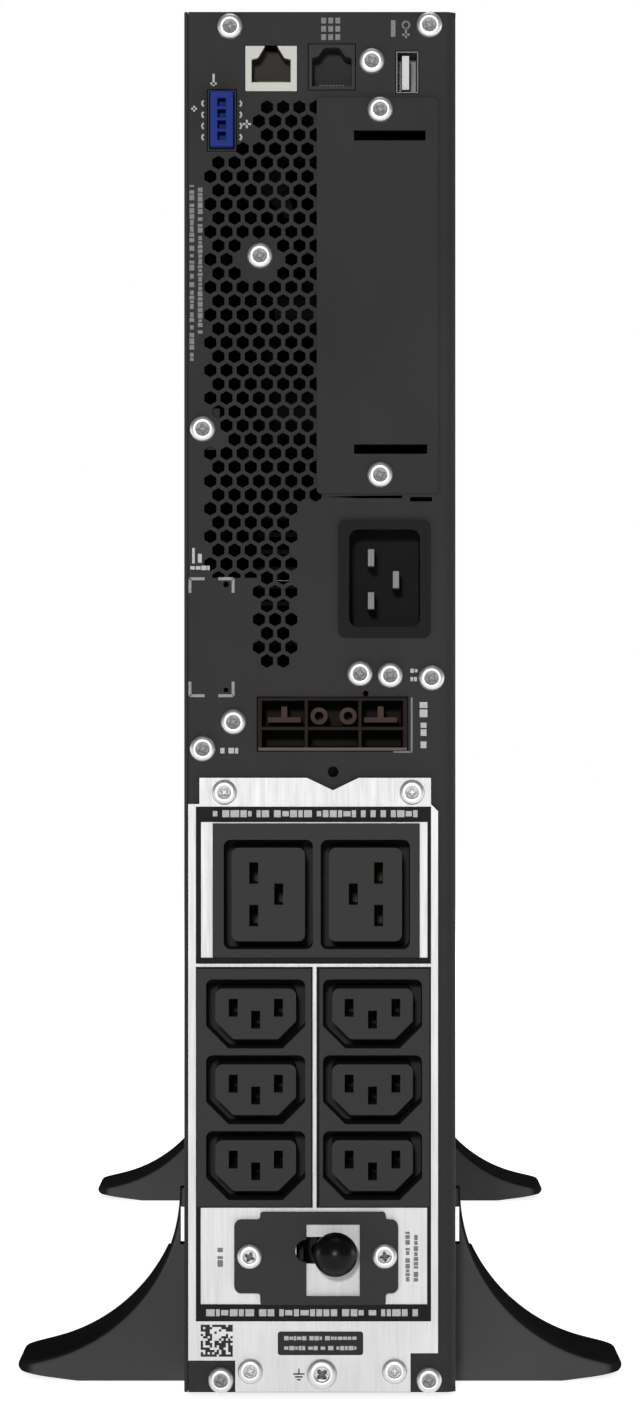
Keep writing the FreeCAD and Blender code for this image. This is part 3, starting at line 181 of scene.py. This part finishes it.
def moulded(name, tone, roughness, grain=900, depth=0.03, painted_depth_shade=None, gloss=0.2):
    """Moulded plastic with spark-eroded grain, slight flow marks and, if asked, painted shade that
    darkens its depths.
    """
    skin = Shader(name, roughness=roughness, specular_ior_level=gloss)
    flow = skin.noise(16, 3, 0.5, stretch=(1, 1, 0.4))
    colour = skin.ramp(flow, (0.3, shade(tone, 0.85)), (0.7, shade(tone, 1.15)))
    skin.feed("Base Color", skin.painted_depth_shade(colour, *painted_depth_shade) if painted_depth_shade else colour)
    skin.feed("Roughness", skin.ramp(flow, (0.25, roughness * 0.88), (0.75, roughness * 1.12)))
    skin.bump((skin.cells(grain), 0.3, depth), (skin.noise(grain * 1.7, 2), 0.2, depth))
    return skin.material


def foot_moulding(name, tone, painted_shade_tone):
    """Grained foot: its curved faces carry painted shade, a darker tone than its flat ends."""
    skin = Shader(name, roughness=0.7, specular_ior_level=0.0)
    facing = skin.nodes.new("ShaderNodeTexCoord").outputs["Normal"]
    split = skin.nodes.new("ShaderNodeSeparateXYZ")
    skin.links.new(facing, split.inputs["Vector"])
    flow = skin.noise(16, 3, 0.5, stretch=(1, 1, 0.4))
    ends = skin.ramp(flow, (0.3, shade(tone, 0.88)), (0.7, shade(tone, 1.12)))
    # Painted shade: curved faces, which look neither to the front nor to the rear, take this
    # darker tone.
    upper = skin.ramp(flow, (0.3, shade(painted_shade_tone, 0.85)), (0.7, shade(painted_shade_tone, 1.15)))
    level = skin.nodes.new("ShaderNodeMath")
    level.operation = "ABSOLUTE"
    skin.links.new(split.outputs["Y"], level.inputs[0])
    painted_shade_mask = skin.ramp(level.outputs["Value"], (0.72, 1.0), (0.88, 0.0))
    skin.feed("Base Color", skin.mixed(painted_shade_mask, ends, upper))
    skin.feed("Roughness", skin.ramp(flow, (0.25, 0.66), (0.75, 0.76)))
    skin.bump((skin.cells(700), 0.3, 0.03), (skin.noise(1200, 2), 0.2, 0.03))
    return skin.material


def sheet_metal(name, tone, roughness, streaks=(1, 1, 0.04)):
    """Bright metal with fine rolling streaks and faint clouded patches."""
    metal = Shader(name, roughness=roughness, metallic=1.0)
    lines = metal.noise(1800, 2, 0.5, stretch=streaks)
    clouds = metal.noise(24, 4)
    light = metal.ramp(clouds, (0.3, shade(tone, 0.94)), (0.7, shade(tone, 1.04)))
    dull = metal.ramp(clouds, (0.3, shade(tone, 0.82)), (0.7, shade(tone, 0.9)))
    metal.feed("Base Color", metal.mixed(metal.ramp(lines, (0.45, 0.0), (0.8, 0.3)), light, dull))
    metal.feed("Roughness", metal.ramp(lines, (0.3, roughness * 0.94), (0.75, roughness * 1.06)))
    metal.bump((lines, 0.05, 0.01))
    return metal.material


def circuit_board(name):
    """Solder mask with tracks, pads and a few bright holes."""
    board = Shader(name, roughness=0.35)
    tracks = board.cells(160)
    mask = board.ramp(board.noise(12), (0.3, (0.003, 0.02, 0.009)), (0.7, (0.004, 0.028, 0.012)))
    copper = board.ramp(tracks, (0.0, (0.16, 0.14, 0.08)), (0.12, (0.006, 0.036, 0.017)))
    bare = board.ramp(tracks, (0.1, 1.0), (0.16, 0.0))
    board.feed("Base Color", board.mixed(bare, mask, copper))
    board.feed("Roughness", board.ramp(tracks, (0.05, 0.25), (0.2, 0.42)))
    board.bump((tracks, 0.2, 0.05))
    return board.material


def windings(name):
    """Enamelled copper wire wound closely."""
    wire = Shader(name, roughness=0.3, metallic=0.8)
    turns = wire.bands(150, "DIAGONAL", 0.6)
    copper = wire.ramp(turns, (0.2, (0.12, 0.035, 0.012)), (0.8, (0.6, 0.25, 0.09)))
    wire.feed("Base Color", copper)
    wire.feed("Roughness", wire.ramp(turns, (0.2, 0.5), (0.8, 0.25)))
    wire.bump((turns, 0.8, 0.4))
    return wire.material


def printed(name, tone, roughness=0.55, gloss=0.2):
    """Silkscreen ink: slightly uneven cover over the coat below."""
    ink = Shader(name, roughness=roughness, specular_ior_level=gloss)
    cover = ink.noise(1400, 3, 0.6)
    ink.feed("Base Color", ink.ramp(cover, (0.25, shade(tone, 0.7)), (0.6, tone)))
    ink.feed("Roughness", ink.ramp(cover, (0.3, roughness), (0.7, roughness * 0.85)))
    ink.bump((cover, 0.2, 0.01))
    return ink.material


def glossy(name, tone, roughness, coat=0.6):
    """Polished moulding with faint waviness and hairline marks."""
    skin = Shader(name, roughness=roughness, coat_weight=coat, coat_roughness=0.04)
    wave = skin.noise(60, 2)
    hair = skin.noise(700, 2, 0.5, stretch=(1, 1, 0.08))
    skin.feed("Base Color", skin.ramp(wave, (0.3, shade(tone, 0.9)), (0.7, shade(tone, 1.1))))
    skin.feed("Roughness", skin.ramp(hair, (0.45, roughness), (0.85, roughness * 1.7)))
    skin.bump((wave, 0.05, 0.05))
    return skin.material


MATERIALS = {
    "case_steel": powder_coat("case_coat", 0.0178),
    "zinc_plate": sheet_metal("zinc_plate", 0.56, 0.6),
    # Galvanised sheet in a tone far darker than bright zinc: painted shade for the sheet parts
    # seen inside the case.
    "steel_plain": sheet_metal("galvanised_sheet", 0.14, 0.5, streaks=(1, 0.05, 1)),
    "screw_zinc": sheet_metal("screw_zinc", 0.66, 0.44, streaks=(1, 1, 1)),
    "black_plastic": moulded("outlet_plastic", 0.0212, 0.62, grain=1100, depth=0.02),
    "foot_plastic": foot_moulding("foot_plastic", 0.060, 0.012),
    "bezel_plastic": moulded("bezel_plastic", 0.018, 0.45, grain=800, depth=0.04),
    "label_ink": printed("label_ink", 0.008, 0.7, gloss=0.12),
    "contact_brass": sheet_metal("tinned_contact", (0.12, 0.11, 0.085), 0.5),
    # Painted shade: the white jack turns dark from 0.6 to 2.5 mm inside its opening.
    "jack_white": moulded("jack_white", (0.52, 0.515, 0.475), 0.62, grain=1200, depth=0.01,
                          painted_depth_shade=((0.034, 0.030, 0.023), 0.6, 2.5)),
    "blue_plastic": moulded("terminal_blue", (0.002, 0.017, 0.17), 0.66, grain=1200, depth=0.01),
    # Painted shade: the port turns darker from 1.5 to 6 mm inside its cells.
    "port_brown": moulded("port_brown", (0.0105, 0.0060, 0.0048), 0.6, grain=1100, depth=0.01,
                          painted_depth_shade=((0.0085, 0.0050, 0.0038), 1.5, 6), gloss=0.1),
    "knob_gloss": moulded("knob_black", 0.002, 0.3, grain=1300, depth=0.005, gloss=0.14),
    "board_green": circuit_board("circuit_board"),
    # Black anodising, set darker still: painted shade for the fins seen inside the case.
    "fin_aluminium": moulded("anodised_fins", 0.006, 0.6, grain=1400, depth=0.01, gloss=0.1),
    "can_black": moulded("capacitor_sleeve", (0.004, 0.004, 0.006), 0.6, gloss=0.06),
    "copper_wound": windings("copper_windings"),
    "battery_grey": moulded("battery_case", (0.03, 0.032, 0.036), 0.5),
    "window_glass": glossy("display_glass", (0.006, 0.008, 0.011), 0.2, coat=0.3),
    "key_plastic": moulded("key_plastic", 0.06, 0.4, grain=1300, depth=0.01),
}
# Nodes whose surface differs from the rest of their slot.
NODE_MATERIALS = {
    "inlet_housing": moulded("inlet_plastic", 0.0062, 0.6, grain=1100, depth=0.02, gloss=0.1),
    # Painted shade: the outlet forks are coloured far darker than tinned metal, as shade deep in
    # the slots.
    "outlet_contacts": sheet_metal("fork_painted_shade", (0.035, 0.03, 0.022), 0.5),
    "battery_port_contacts": moulded("port_relief", (0.056, 0.034, 0.028), 0.6, grain=1000,
                                     depth=0.02, gloss=0.1),
    "inlet_pins": sheet_metal("nickel_blade", 0.13, 0.55),
    "usb_shell": sheet_metal("usb_steel", 0.11, 0.5),
    "usb_tongue": moulded("usb_insulator", 0.5, 0.4, grain=1200, depth=0.01),
    # Parts seen through the rear mesh are coloured near-black: painted shade inside the case; the
    # fans are black plastic, made darker still as painted shade.
    "fan_frames": moulded("fan_black_painted_shade", 0.004, 0.7, gloss=0.04),
    "fan_rotor_upper": moulded("upper_rotor_black_painted_shade", 0.004, 0.7, gloss=0.04),
    "fan_rotor_lower": moulded("lower_rotor_black_painted_shade", 0.004, 0.7, gloss=0.04),
    "fan_bracket": moulded("bracket_painted_shade", 0.005, 0.7, grain=1500, gloss=0.04),
    "bay_divider": moulded("divider_painted_shade", 0.006, 0.7, grain=1500, gloss=0.04),
    "front_frame": moulded("frame_painted_shade", 0.006, 0.7, grain=1500, gloss=0.04),
    "option_slot_rails": moulded("rail_painted_shade", 0.006, 0.7, grain=1500, gloss=0.04),
}
PRINT_WHITE = printed("print_white", 0.42)
PRINT_GREY = printed("print_grey", 0.17)
PRINT_SOFT = printed("print_soft", 0.26)
PRINT_BLACK = printed("print_black", 0.012)
# Near-black flat colour standing in for the shade inside small holes: painted shade.
HOLE_SHADE_PAINT = printed("hole_painted_shade", 0.0008, gloss=0.0)
# Lighter moulding tone for a strip on the battery port's lower lip: painted light.
LIP_PAINTED_LIGHT = moulded("port_lip_painted_light", (0.098, 0.074, 0.070), 0.6, grain=1000, depth=0.02, gloss=0.1)
# Recess metal coloured darker than the heads: painted shade inside the screw recesses, in three
# strengths.
SHADED_RECESS = sheet_metal("screw_recess_painted_shade", 0.42, 0.75, streaks=(1, 1, 1))
LIGHT_SHADED_RECESS = sheet_metal("pale_recess_painted_shade", 0.62, 0.6, streaks=(1, 1, 1))
DEEP_SHADED_RECESS = sheet_metal("dark_recess_painted_shade", 0.2, 0.7, streaks=(1, 1, 1))
# Darker metal for a patch on the plate inside the breaker guard's window: painted shade.
WINDOW_SHADE_METAL = sheet_metal("plate_window_shade", 0.46, 0.55)


# ---------------------------------------------------------------- CAD nodes: finish and edges
WELD_DISTANCE = 0.005 * MM
BEVEL_ANGLE = math.radians(40)
FLATS_WEIGHT = 90
# Width in mm of the broken edges of each node that is seen.
EDGE_WIDTHS = {
    "rear_panel": 0.12, "chassis_tray": 0.3, "side_cover": 0.3, "front_bezel": 0.35,
    "c19_outlet_pair": 0.3, "c13_outlets_left": 0.3, "c13_outlets_right": 0.3,
    "inlet_housing": 0.35, "inlet_pins": 0.3, "network_jack": 0.2, "serial_jack": 0.2,
    "usb_shell": 0.12, "usb_tongue": 0.15, "emergency_off_header": 0.2, "emergency_off_plug": 0.25,
    "battery_port_housing": 0.3, "breaker_plate": 0.3, "foot_rear_left": 0.5,
    "foot_rear_right": 0.5, "foot_front_left": 0.5, "foot_front_right": 0.5,
    "display_cassette": 0.15, "display_window": 0.2, "button_power": 0.35,
    "button_escape": 0.3, "button_down": 0.3, "button_up": 0.3, "button_enter": 0.3,
}


def finish_node(name, item, slot):
    """Give a CAD node its material and, where it is seen, broken edges that catch the light."""
    item.data.materials.clear()
    item.data.materials.append(NODE_MATERIALS.get(name, MATERIALS[slot]))
    width = EDGE_WIDTHS.get(name)
    if not width:
        return
    weld = item.modifiers.new("weld", "WELD")
    weld.merge_threshold = WELD_DISTANCE
    bevel = item.modifiers.new("broken_edges", "BEVEL")
    bevel.width = width * MM
    bevel.segments = 2
    bevel.limit_method = "ANGLE"
    bevel.angle_limit = BEVEL_ANGLE
    bevel.use_clamp_overlap = True
    bevel.face_strength_mode = "FSTR_ALL"
    level = item.modifiers.new("level_flats", "WEIGHTED_NORMAL")
    level.mode = "FACE_AREA"
    level.weight = FLATS_WEIGHT
    level.use_face_influence = True


for entry in frame["record"]["subparts"]:
    finish_node(entry["node"], frame["nodes"][entry["node"]], entry["material_slot"])


# ---------------------------------------------------------------- pieces
def new_piece(name, shape, body, slot, *materials):
    """Object made from a bmesh, with its faces turned outwards, that rides on a body."""
    bmesh.ops.recalc_face_normals(shape, faces=shape.faces)
    mesh = bpy.data.meshes.new(name)
    shape.to_mesh(mesh)
    shape.free()
    for material in materials:
        mesh.materials.append(material)
    item = bpy.data.objects.new(name, mesh)
    bpy.context.scene.collection.objects.link(item)
    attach(item, body)
    return item


def bar(left, right, low, high):
    """Outline of an upright bar."""
    return [(left, low), (right, low), (right, high), (left, high)]


def stroke(start, end, width):
    """Straight stroke with square ends between two places."""
    along = Vector(end) - Vector(start)
    side = Vector((-along.y, along.x)).normalized() * (width / 2)
    return [tuple(Vector(place) + turn * side)
            for place, turn in ((start, 1), (start, -1), (end, -1), (end, 1))]


def rounded_bar(left, right, low, high, radius, steps=5):
    """Bar with its corners rounded."""
    outline = []
    for x, z, start in ((right - radius, high - radius, 0), (left + radius, high - radius, 90),
                        (left + radius, low + radius, 180), (right - radius, low + radius, 270)):
        for step in range(steps + 1):
            angle = math.radians(start + 90 * step / steps)
            outline.append((x + radius * math.cos(angle), z + radius * math.sin(angle)))
    return outline


def hoop(across, up, radius, width, start=0, sweep=360, steps=20):
    """Strokes round an arc."""
    places = [(across + radius * math.cos(math.radians(start + sweep * i / steps)),
               up + radius * math.sin(math.radians(start + sweep * i / steps)))
              for i in range(steps + 1)]
    return [stroke(places[i], places[i + 1], width) for i in range(steps)]


SHORTEST_MARK = 0.5
MARK_LENGTHS = (0.45, 1.1)
HALF_HEIGHTS = (0.5, 0.5, 0.38)
MARK_GAPS = (0.16, 0.16, 0.2, 0.62)


def words(low, high, centre, height, seed, upright=False):
    """Generic broken line that stands for print: bars of uneven length, with no letters."""
    pick = random.Random(seed)
    marks, place = [], low
    while place < high - SHORTEST_MARK:
        size = min(pick.uniform(*MARK_LENGTHS) * height, high - place)
        half = height * pick.choice(HALF_HEIGHTS) / 1.15
        if upright:
            marks.append(bar(centre - half, centre + half, place, place + size))
        else:
            marks.append(bar(place, place + size, centre - half, centre + half))
        place += size + height * pick.choice(MARK_GAPS)
    return marks


def print_marks(name, marks, depth, material, body="case", slot="label_ink", forward=-1):
    """Thin raised prints on a face that looks to the rear (or to the front)."""
    shape = bmesh.new()
    for outline in marks:
        near = [shape.verts.new(spot(x, z, depth + forward * INK)) for x, z in outline]
        far = [shape.verts.new(spot(x, z, depth)) for x, z in outline]
        shape.faces.new(near)
        count = len(outline)
        for i in range(count):
            shape.faces.new((near[i], far[i], far[(i + 1) % count], near[(i + 1) % count]))
    new_piece(name, shape, body, slot, material)


def print_rear_panel():
    """Everything printed on the dark panel, with bars and plain signs in place of words."""
    corners = []
    for x, side in ((-40.7, 1), (-27.2, -1)):
        for z, rise in ((218.0, 1), (254.6, -1)):
            corners.append(stroke((x, z), (x, z + rise * 4.4), 0.9))
            corners.append(stroke((x, z), (x + side * 4.6, z), 0.9))
    print_marks("corner_marks", corners, PANEL_FACE, PRINT_SOFT)
    # Painted shade: two near-black dots stand for the shade inside two small holes.
    dots = [rounded_bar(x - reach, x + reach, z - reach, z + reach, reach * 0.98)
            for x, z, reach in ((-29.4, 252.8, 0.9), (-29.4, 219.8, 0.75))]
    print_marks("corner_dots", dots, PANEL_FACE, HOLE_SHADE_PAINT)
    marks = words(-40.6, -34.5, 258.0, 1.6, 5)
    marks += [bar(-40.0, -39.2, 259.4, 264.2), bar(-38.2, -37.0, 259.6, 262.4)]
    for step in range(4):
        up = 392.8 + 3.5 * step
        marks += hoop(-35.9, up, 1.0, 0.6, start=120, sweep=120, steps=5)
        marks += hoop(-25.6, up, 1.0, 0.6, start=-60, sweep=120, steps=5)
    for x, z, reach in ((-39.4, 401.7, 0.9), (-22.9, 396.9, 1.3)):
        marks += [stroke((x - reach, z), (x + reach, z), 0.6),
                  stroke((x, z - reach), (x, z + reach), 0.6)]
    marks += [stroke((-33.3, 408.8), (-33.3, 412.6), 0.7),
              stroke((-34.3, 409.6), (-32.3, 409.6), 0.7)]
    marks += words(-31.2, -25.6, 200.8, 2.0, 7)
    marks += words(28.3, 30.8, 223.2, 1.5, 8) + words(28.3, 30.8, 225.8, 1.5, 9)
    marks += words(201.6, 216.0, 32.4, 2.8, 11, upright=True)
    print_marks("panel_print", marks, PANEL_FACE, PRINT_WHITE)


def print_port_signs():
    """Grey lines and plain signs of the panel, the battery port's outline, and painted light along
    the port's lower lip.
    """
    marks = words(322.8, 377.8, -40.1, 1.7, 3, upright=True)
    marks += words(331.3, 377.8, -37.5, 1.7, 4, upright=True)
    marks += [bar(0.4 + 2.2 * step, 1.9 + 2.2 * step, low, low + 1.8)
              for step in range(3) for low in (423.2, 425.8, 428.4)]
    marks += [stroke((22.9, 424.2), (22.9, 429.4), 1.4)]
    marks += hoop(26.9, 427.9, 1.1, 0.55, steps=14) + [stroke((26.9, 423.8), (26.9, 426.9), 0.6)]
    marks += [stroke((25.7, 424.9), (28.1, 424.9), 0.6)]
    marks += [stroke((28.7, 200.4), (28.7, 217.4), 0.6), stroke((23.0, 200.4), (28.9, 200.4), 0.5)]
    print_marks("port_signs", marks, PANEL_FACE, PRINT_GREY)
    low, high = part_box("battery_port_housing")
    edge = (low[2] - CASE_BOTTOM) / MM
    # Painted light: a lighter strip along the port's lower lip, where the lamp catches it.
    painted_light_strip = bar(low[0] / MM + 0.3, high[0] / MM - 0.3, edge + 0.15, edge + 1.05)
    print_marks("port_lip_painted_light", [painted_light_strip], low[1], LIP_PAINTED_LIGHT, slot="port_brown")


CODE_CELLS = 14
CODE_WIDTH = 10.0
CODE_CORNER = (-37.3, 11.3)


def print_output_plate():
    """Bars, made-up coded square and earth sign on the bright plate and its black labels, and
    painted shade on the plate inside the breaker guard's window.
    """
    light = words(-33.5, 30.5, 181.1, 2.5, 21) + words(-35.6, 30.6, 25.1, 2.5, 22)
    print_marks("label_print", light, LABEL_FACE, PRINT_WHITE)
    pick = random.Random(12)
    cell = CODE_WIDTH / CODE_CELLS
    ends = (0, CODE_CELLS - 1)
    dark = []
    for row in range(CODE_CELLS):
        for column in range(CODE_CELLS):
            filled = 0.72 if row in ends or column in ends else 0.5
            if pick.random() < filled:
                left, low = CODE_CORNER[0] + column * cell, CODE_CORNER[1] + row * cell
                dark.append(bar(left, left + cell * 1.02, low, low + cell * 1.02))
    dark.append(rounded_bar(-13.2, 13.5, 11.8, 19.2, 0.9))
    dark += [stroke((-6.6, 7.6), (-6.6, 5.9), 0.4), stroke((-8.4, 5.9), (-4.8, 5.9), 0.45),
             stroke((-7.8, 5.0), (-5.4, 5.0), 0.45), stroke((-7.2, 4.1), (-6.0, 4.1), 0.45)]
    print_marks("plate_print", dark, PLATE_FACE, PRINT_BLACK)
    faint = words(39.4, 45.4, -31.2, 2.0, 23, upright=True)
    faint += words(34.8, 50.4, 27.4, 1.6, 24, upright=True)
    faint += words(34.8, 50.0, 30.0, 1.6, 25, upright=True)
    print_marks("faint_print", faint, PLATE_FACE, PRINT_GREY)
    # Painted shade: a darker metal patch on the plate inside the breaker guard's window, where the
    # guard shades it.
    window_shade_outline = [(-4.2, 30.4), (12.3, 30.4), (12.3, 52.8), (-4.2, 52.8), (-4.2, 49.0), (5.0, 49.0),
               (5.0, 40.2), (-4.2, 40.2)]
    print_marks("breaker_window_shade", [window_shade_outline], PLATE_FACE, WINDOW_SHADE_METAL, slot="zinc_plate")
    lines = words(-11.2, 11.4, 17.1, 1.5, 26) + words(-11.2, 11.4, 14.0, 1.5, 27)
    print_marks("plate_label_print", lines, PLATE_FACE - INK, PRINT_WHITE)


# ---------------------------------------------------------------- screws
# Rings of a pan head as radius and height in parts of the whole, and whether each is a cross.
SCREW_RINGS = ((1.0, 0.0, 0), (1.0, 0.25, 0), (0.985, 0.48, 0), (0.93, 0.7, 0), (0.84, 0.87, 0),
               (0.74, 0.96, 0), (0.64, 1.0, 0), (0.55, 0.98, 0), (0.5, 0.86, 0), (0.47, 0.7, 0),
               (0.44, 0.66, 0), (0.42, 0.65, 1), (0.40, 0.58, 1), (0.34, 0.3, 1), (0.15, 0.2, 1))
# The ring where a head's recess part starts, rougher and coloured darker as painted shade: with
# its round recess, or with its cross only.
ROUND_RECESS = 8
CROSS_RECESS = 11
SCREW_STEPS = 48
SAME_POINT = 1e-6
EARTH_SPAN = 10          # how far from the middle the earth screw may be, in mm


def cross_reach(angle):
    """Outline of a cross recess: 1 along its four arms, and much less between them."""
    lobe = abs(math.cos(2 * angle)) ** 1.6
    return 0.42 + 0.58 * lobe


def add_screw(shape, centre, radius, rise, turn, first_shaded_ring):
    """Add one pan head whose rings rise towards the rear."""
    rings = []
    for scale, height, cross in SCREW_RINGS:
        ring = []
        for step in range(SCREW_STEPS):
            angle = 2 * math.pi * step / SCREW_STEPS
            reach = scale * radius * (cross_reach(angle) if cross else 1)
            ring.append(shape.verts.new(centre + Vector((reach * math.cos(angle + turn),
                                                         -height * rise,
                                                         reach * math.sin(angle + turn)))))
        rings.append(ring)
    for level, (lower, upper) in enumerate(zip(rings, rings[1:])):
        for step in range(SCREW_STEPS):
            follow = (step + 1) % SCREW_STEPS
            face = shape.faces.new((lower[step], upper[step], upper[follow], lower[follow]))
            # Faces from the shaded ring inward take the recess metal, darker as painted shade.
            face.material_index = 1 if level >= first_shaded_ring else 0
            face.smooth = True
    floor = shape.faces.new(rings[-1])
    floor.material_index = 1
    shape.faces.new(list(reversed(rings[0])))


def build_screws(name, node, places, radius, rise, recess, first_shaded_ring):
    pick = random.Random(name)
    shape = bmesh.new()
    for across, up, depth in places:
        add_screw(shape, spot(across, up, depth), radius * MM, rise * MM,
                  pick.uniform(0, math.pi / 2), first_shaded_ring)
    item = new_piece(name, shape, "case", "screw_zinc", MATERIALS["screw_zinc"], recess)
    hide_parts(node)


def screw_places(node):
    """Middle of each screw of a CAD node: across and up in mm, and its rearmost depth in metres.

    They come in order of place, so that each screw takes the same random turn in every run.
    """
    mesh = frame["nodes"][node].data
    shape = bmesh.new()
    shape.from_mesh(mesh)
    bmesh.ops.remove_doubles(shape, verts=shape.verts, dist=SAME_POINT)
    left = set(shape.verts)
    places = []
    while left:
        stack, group = [left.pop()], []
        while stack:
            vert = stack.pop()
            group.append(vert.co.copy())
            for edge in vert.link_edges:
                other = edge.other_vert(vert)
                if other in left:
                    left.remove(other)
                    stack.append(other)
        xs, ys, zs = ([co[axis] for co in group] for axis in range(3))
        places.append(((min(xs) + max(xs)) / 2 / MM,
                       ((min(zs) + max(zs)) / 2 - CASE_BOTTOM) / MM, min(ys)))
    shape.free()
    return sorted(places, key=lambda place: (round(place[0], 1), round(place[1], 1)))


def make_screws():
    """Pan heads in place of the plain ones: the guard's and the earth's have crosses with deeper
    painted shade.
    """
    low, high = ((corner[2] - CASE_BOTTOM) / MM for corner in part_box("breaker_plate"))
    plate = screw_places("plate_screws")
    guard = [place for place in plate if low < place[1] < high]
    earth = [place for place in plate if place[1] < low and abs(place[0]) < EARTH_SPAN]
    plain = [place for place in plate if place not in guard + earth]
    panel = screw_places("panel_screws")
    for name, node, places, radius, rise, recess, first_shaded_ring in (
            ("panel_screw_heads", "panel_screws", panel, 4.05, 2.2, SHADED_RECESS, ROUND_RECESS),
            ("plate_screw_heads", "plate_screws", plain, 3.9, 1.6, LIGHT_SHADED_RECESS, ROUND_RECESS),
            ("guard_screw_heads", "plate_screws", guard, 3.9, 1.6, DEEP_SHADED_RECESS, CROSS_RECESS),
            ("earth_screw_head", "plate_screws", earth, 4.7, 1.8, DEEP_SHADED_RECESS, CROSS_RECESS)):
        build_screws(name, node, [(x, z, front + rise * MM) for x, z, front in places],
                     radius, rise, recess, first_shaded_ring)


# ---------------------------------------------------------------- front display print
def print_display():
    """A short line by each of the four keys in a row, and a plain power sign."""
    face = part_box("display_cassette")[1][1]
    marks = [stroke((x - 1.4, 319.2), (x + 1.4, 319.2), 0.5) for x in (-16.5, -5.5, 5.5, 16.5)]
    marks += hoop(8.6, 306.5, 1.5, 0.45, start=125, sweep=-250, steps=16)
    marks += [stroke((8.6, 306.6), (8.6, 308.6), 0.45)]
    print_marks("display_signs", marks, face, PRINT_WHITE, body="display", forward=1)


print_rear_panel()
print_port_signs()
print_output_plate()
make_screws()
print_display()


# ---------------------------------------------------------------- floor, light and camera
FLOOR_REACH = 20


def make_floor():
    mesh = bpy.data.meshes.new("floor")
    outline = bar(-FLOOR_REACH, FLOOR_REACH, -FLOOR_REACH, FLOOR_REACH)
    mesh.from_pydata([(x, y, 0) for x, y in outline], [], [(0, 1, 2, 3)])
    item = bpy.data.objects.new("floor", mesh)
    bpy.context.scene.collection.objects.link(item)
    pale = Shader("floor_pale", roughness=0.9, specular_ior_level=0.0, emission_strength=0.82)
    pale.surface.inputs["Emission Color"].default_value = (1, 1, 1, 1)
    pale.feed("Base Color", pale.ramp(pale.noise(2.0), (0.3, 0.80), (0.7, 0.83)))
    mesh.materials.append(pale.material)


def area_light(name, place, aim, size, power):
    data = bpy.data.lights.new(name, "AREA")
    data.shape = "RECTANGLE"
    data.size, data.size_y = size
    data.energy = power
    item = bpy.data.objects.new(name, data)
    bpy.context.scene.collection.objects.link(item)
    item.location = place
    item.rotation_euler = (Vector(aim) - Vector(place)).to_track_quat("-Z", "Y").to_euler()


def make_world():
    """White behind the object, and a dimmer sky that lights it."""
    world = bpy.data.worlds.new("studio")
    bpy.context.scene.world = world
    world.use_nodes = True
    nodes, links = world.node_tree.nodes, world.node_tree.links
    sky = nodes["Background"]
    sky.inputs["Color"].default_value = (1, 1, 1, 1)
    sky.inputs["Strength"].default_value = 0.22
    backdrop = nodes.new("ShaderNodeBackground")
    backdrop.inputs["Color"].default_value = (1, 1, 1, 1)
    seen = nodes.new("ShaderNodeLightPath")
    either = nodes.new("ShaderNodeMixShader")
    links.new(seen.outputs["Is Camera Ray"], either.inputs["Fac"])
    links.new(sky.outputs["Background"], either.inputs[1])
    links.new(backdrop.outputs["Background"], either.inputs[2])
    links.new(either.outputs["Shader"], nodes["World Output"].inputs["Surface"])


def make_light():
    """A key behind the camera, a little up and left of it, and soft lights round the rest."""
    middle = (0, PANEL_FACE, 0.22)
    area_light("key", (-0.15, PANEL_FACE - 2.17, 0.56), middle, (0.14, 0.14), 22)
    for name, side in (("left", -1), ("right", 1)):
        area_light(name, (side * 2.4, 0.3, 0.3), (0, 0, 0.2), (0.9, 0.5), 6)
    area_light("front", (0.5, 2.3, 1.3), (0, 0.3, 0.2), (0.9, 0.9), 26)
    area_light("top", (0, 0.1, 2.4), (0, 0.1, 0), (1.2, 1.2), 9)


CAMERA_DISTANCE = 1.355
CAMERA_HEIGHT = 215.4 * MM
CAMERA_LENS = 110.7
SENSOR_WIDTH = 36
NEAREST_SEEN = 0.01


def make_camera():
    """Straight on from the rear at half height, at a distance that gives the far feet's size."""
    data = bpy.data.cameras.new("camera")
    data.lens = CAMERA_LENS
    data.sensor_width = SENSOR_WIDTH
    data.clip_start = NEAREST_SEEN
    item = bpy.data.objects.new("camera", data)
    bpy.context.scene.collection.objects.link(item)
    item.location = (0, PANEL_FACE - CAMERA_DISTANCE, CASE_BOTTOM + CAMERA_HEIGHT)
    item.rotation_euler = (math.pi / 2, 0, 0)
    bpy.context.scene.camera = item


make_floor()
make_world()
make_light()
make_camera()
bpy.context.scene.view_settings.view_transform = "Standard"
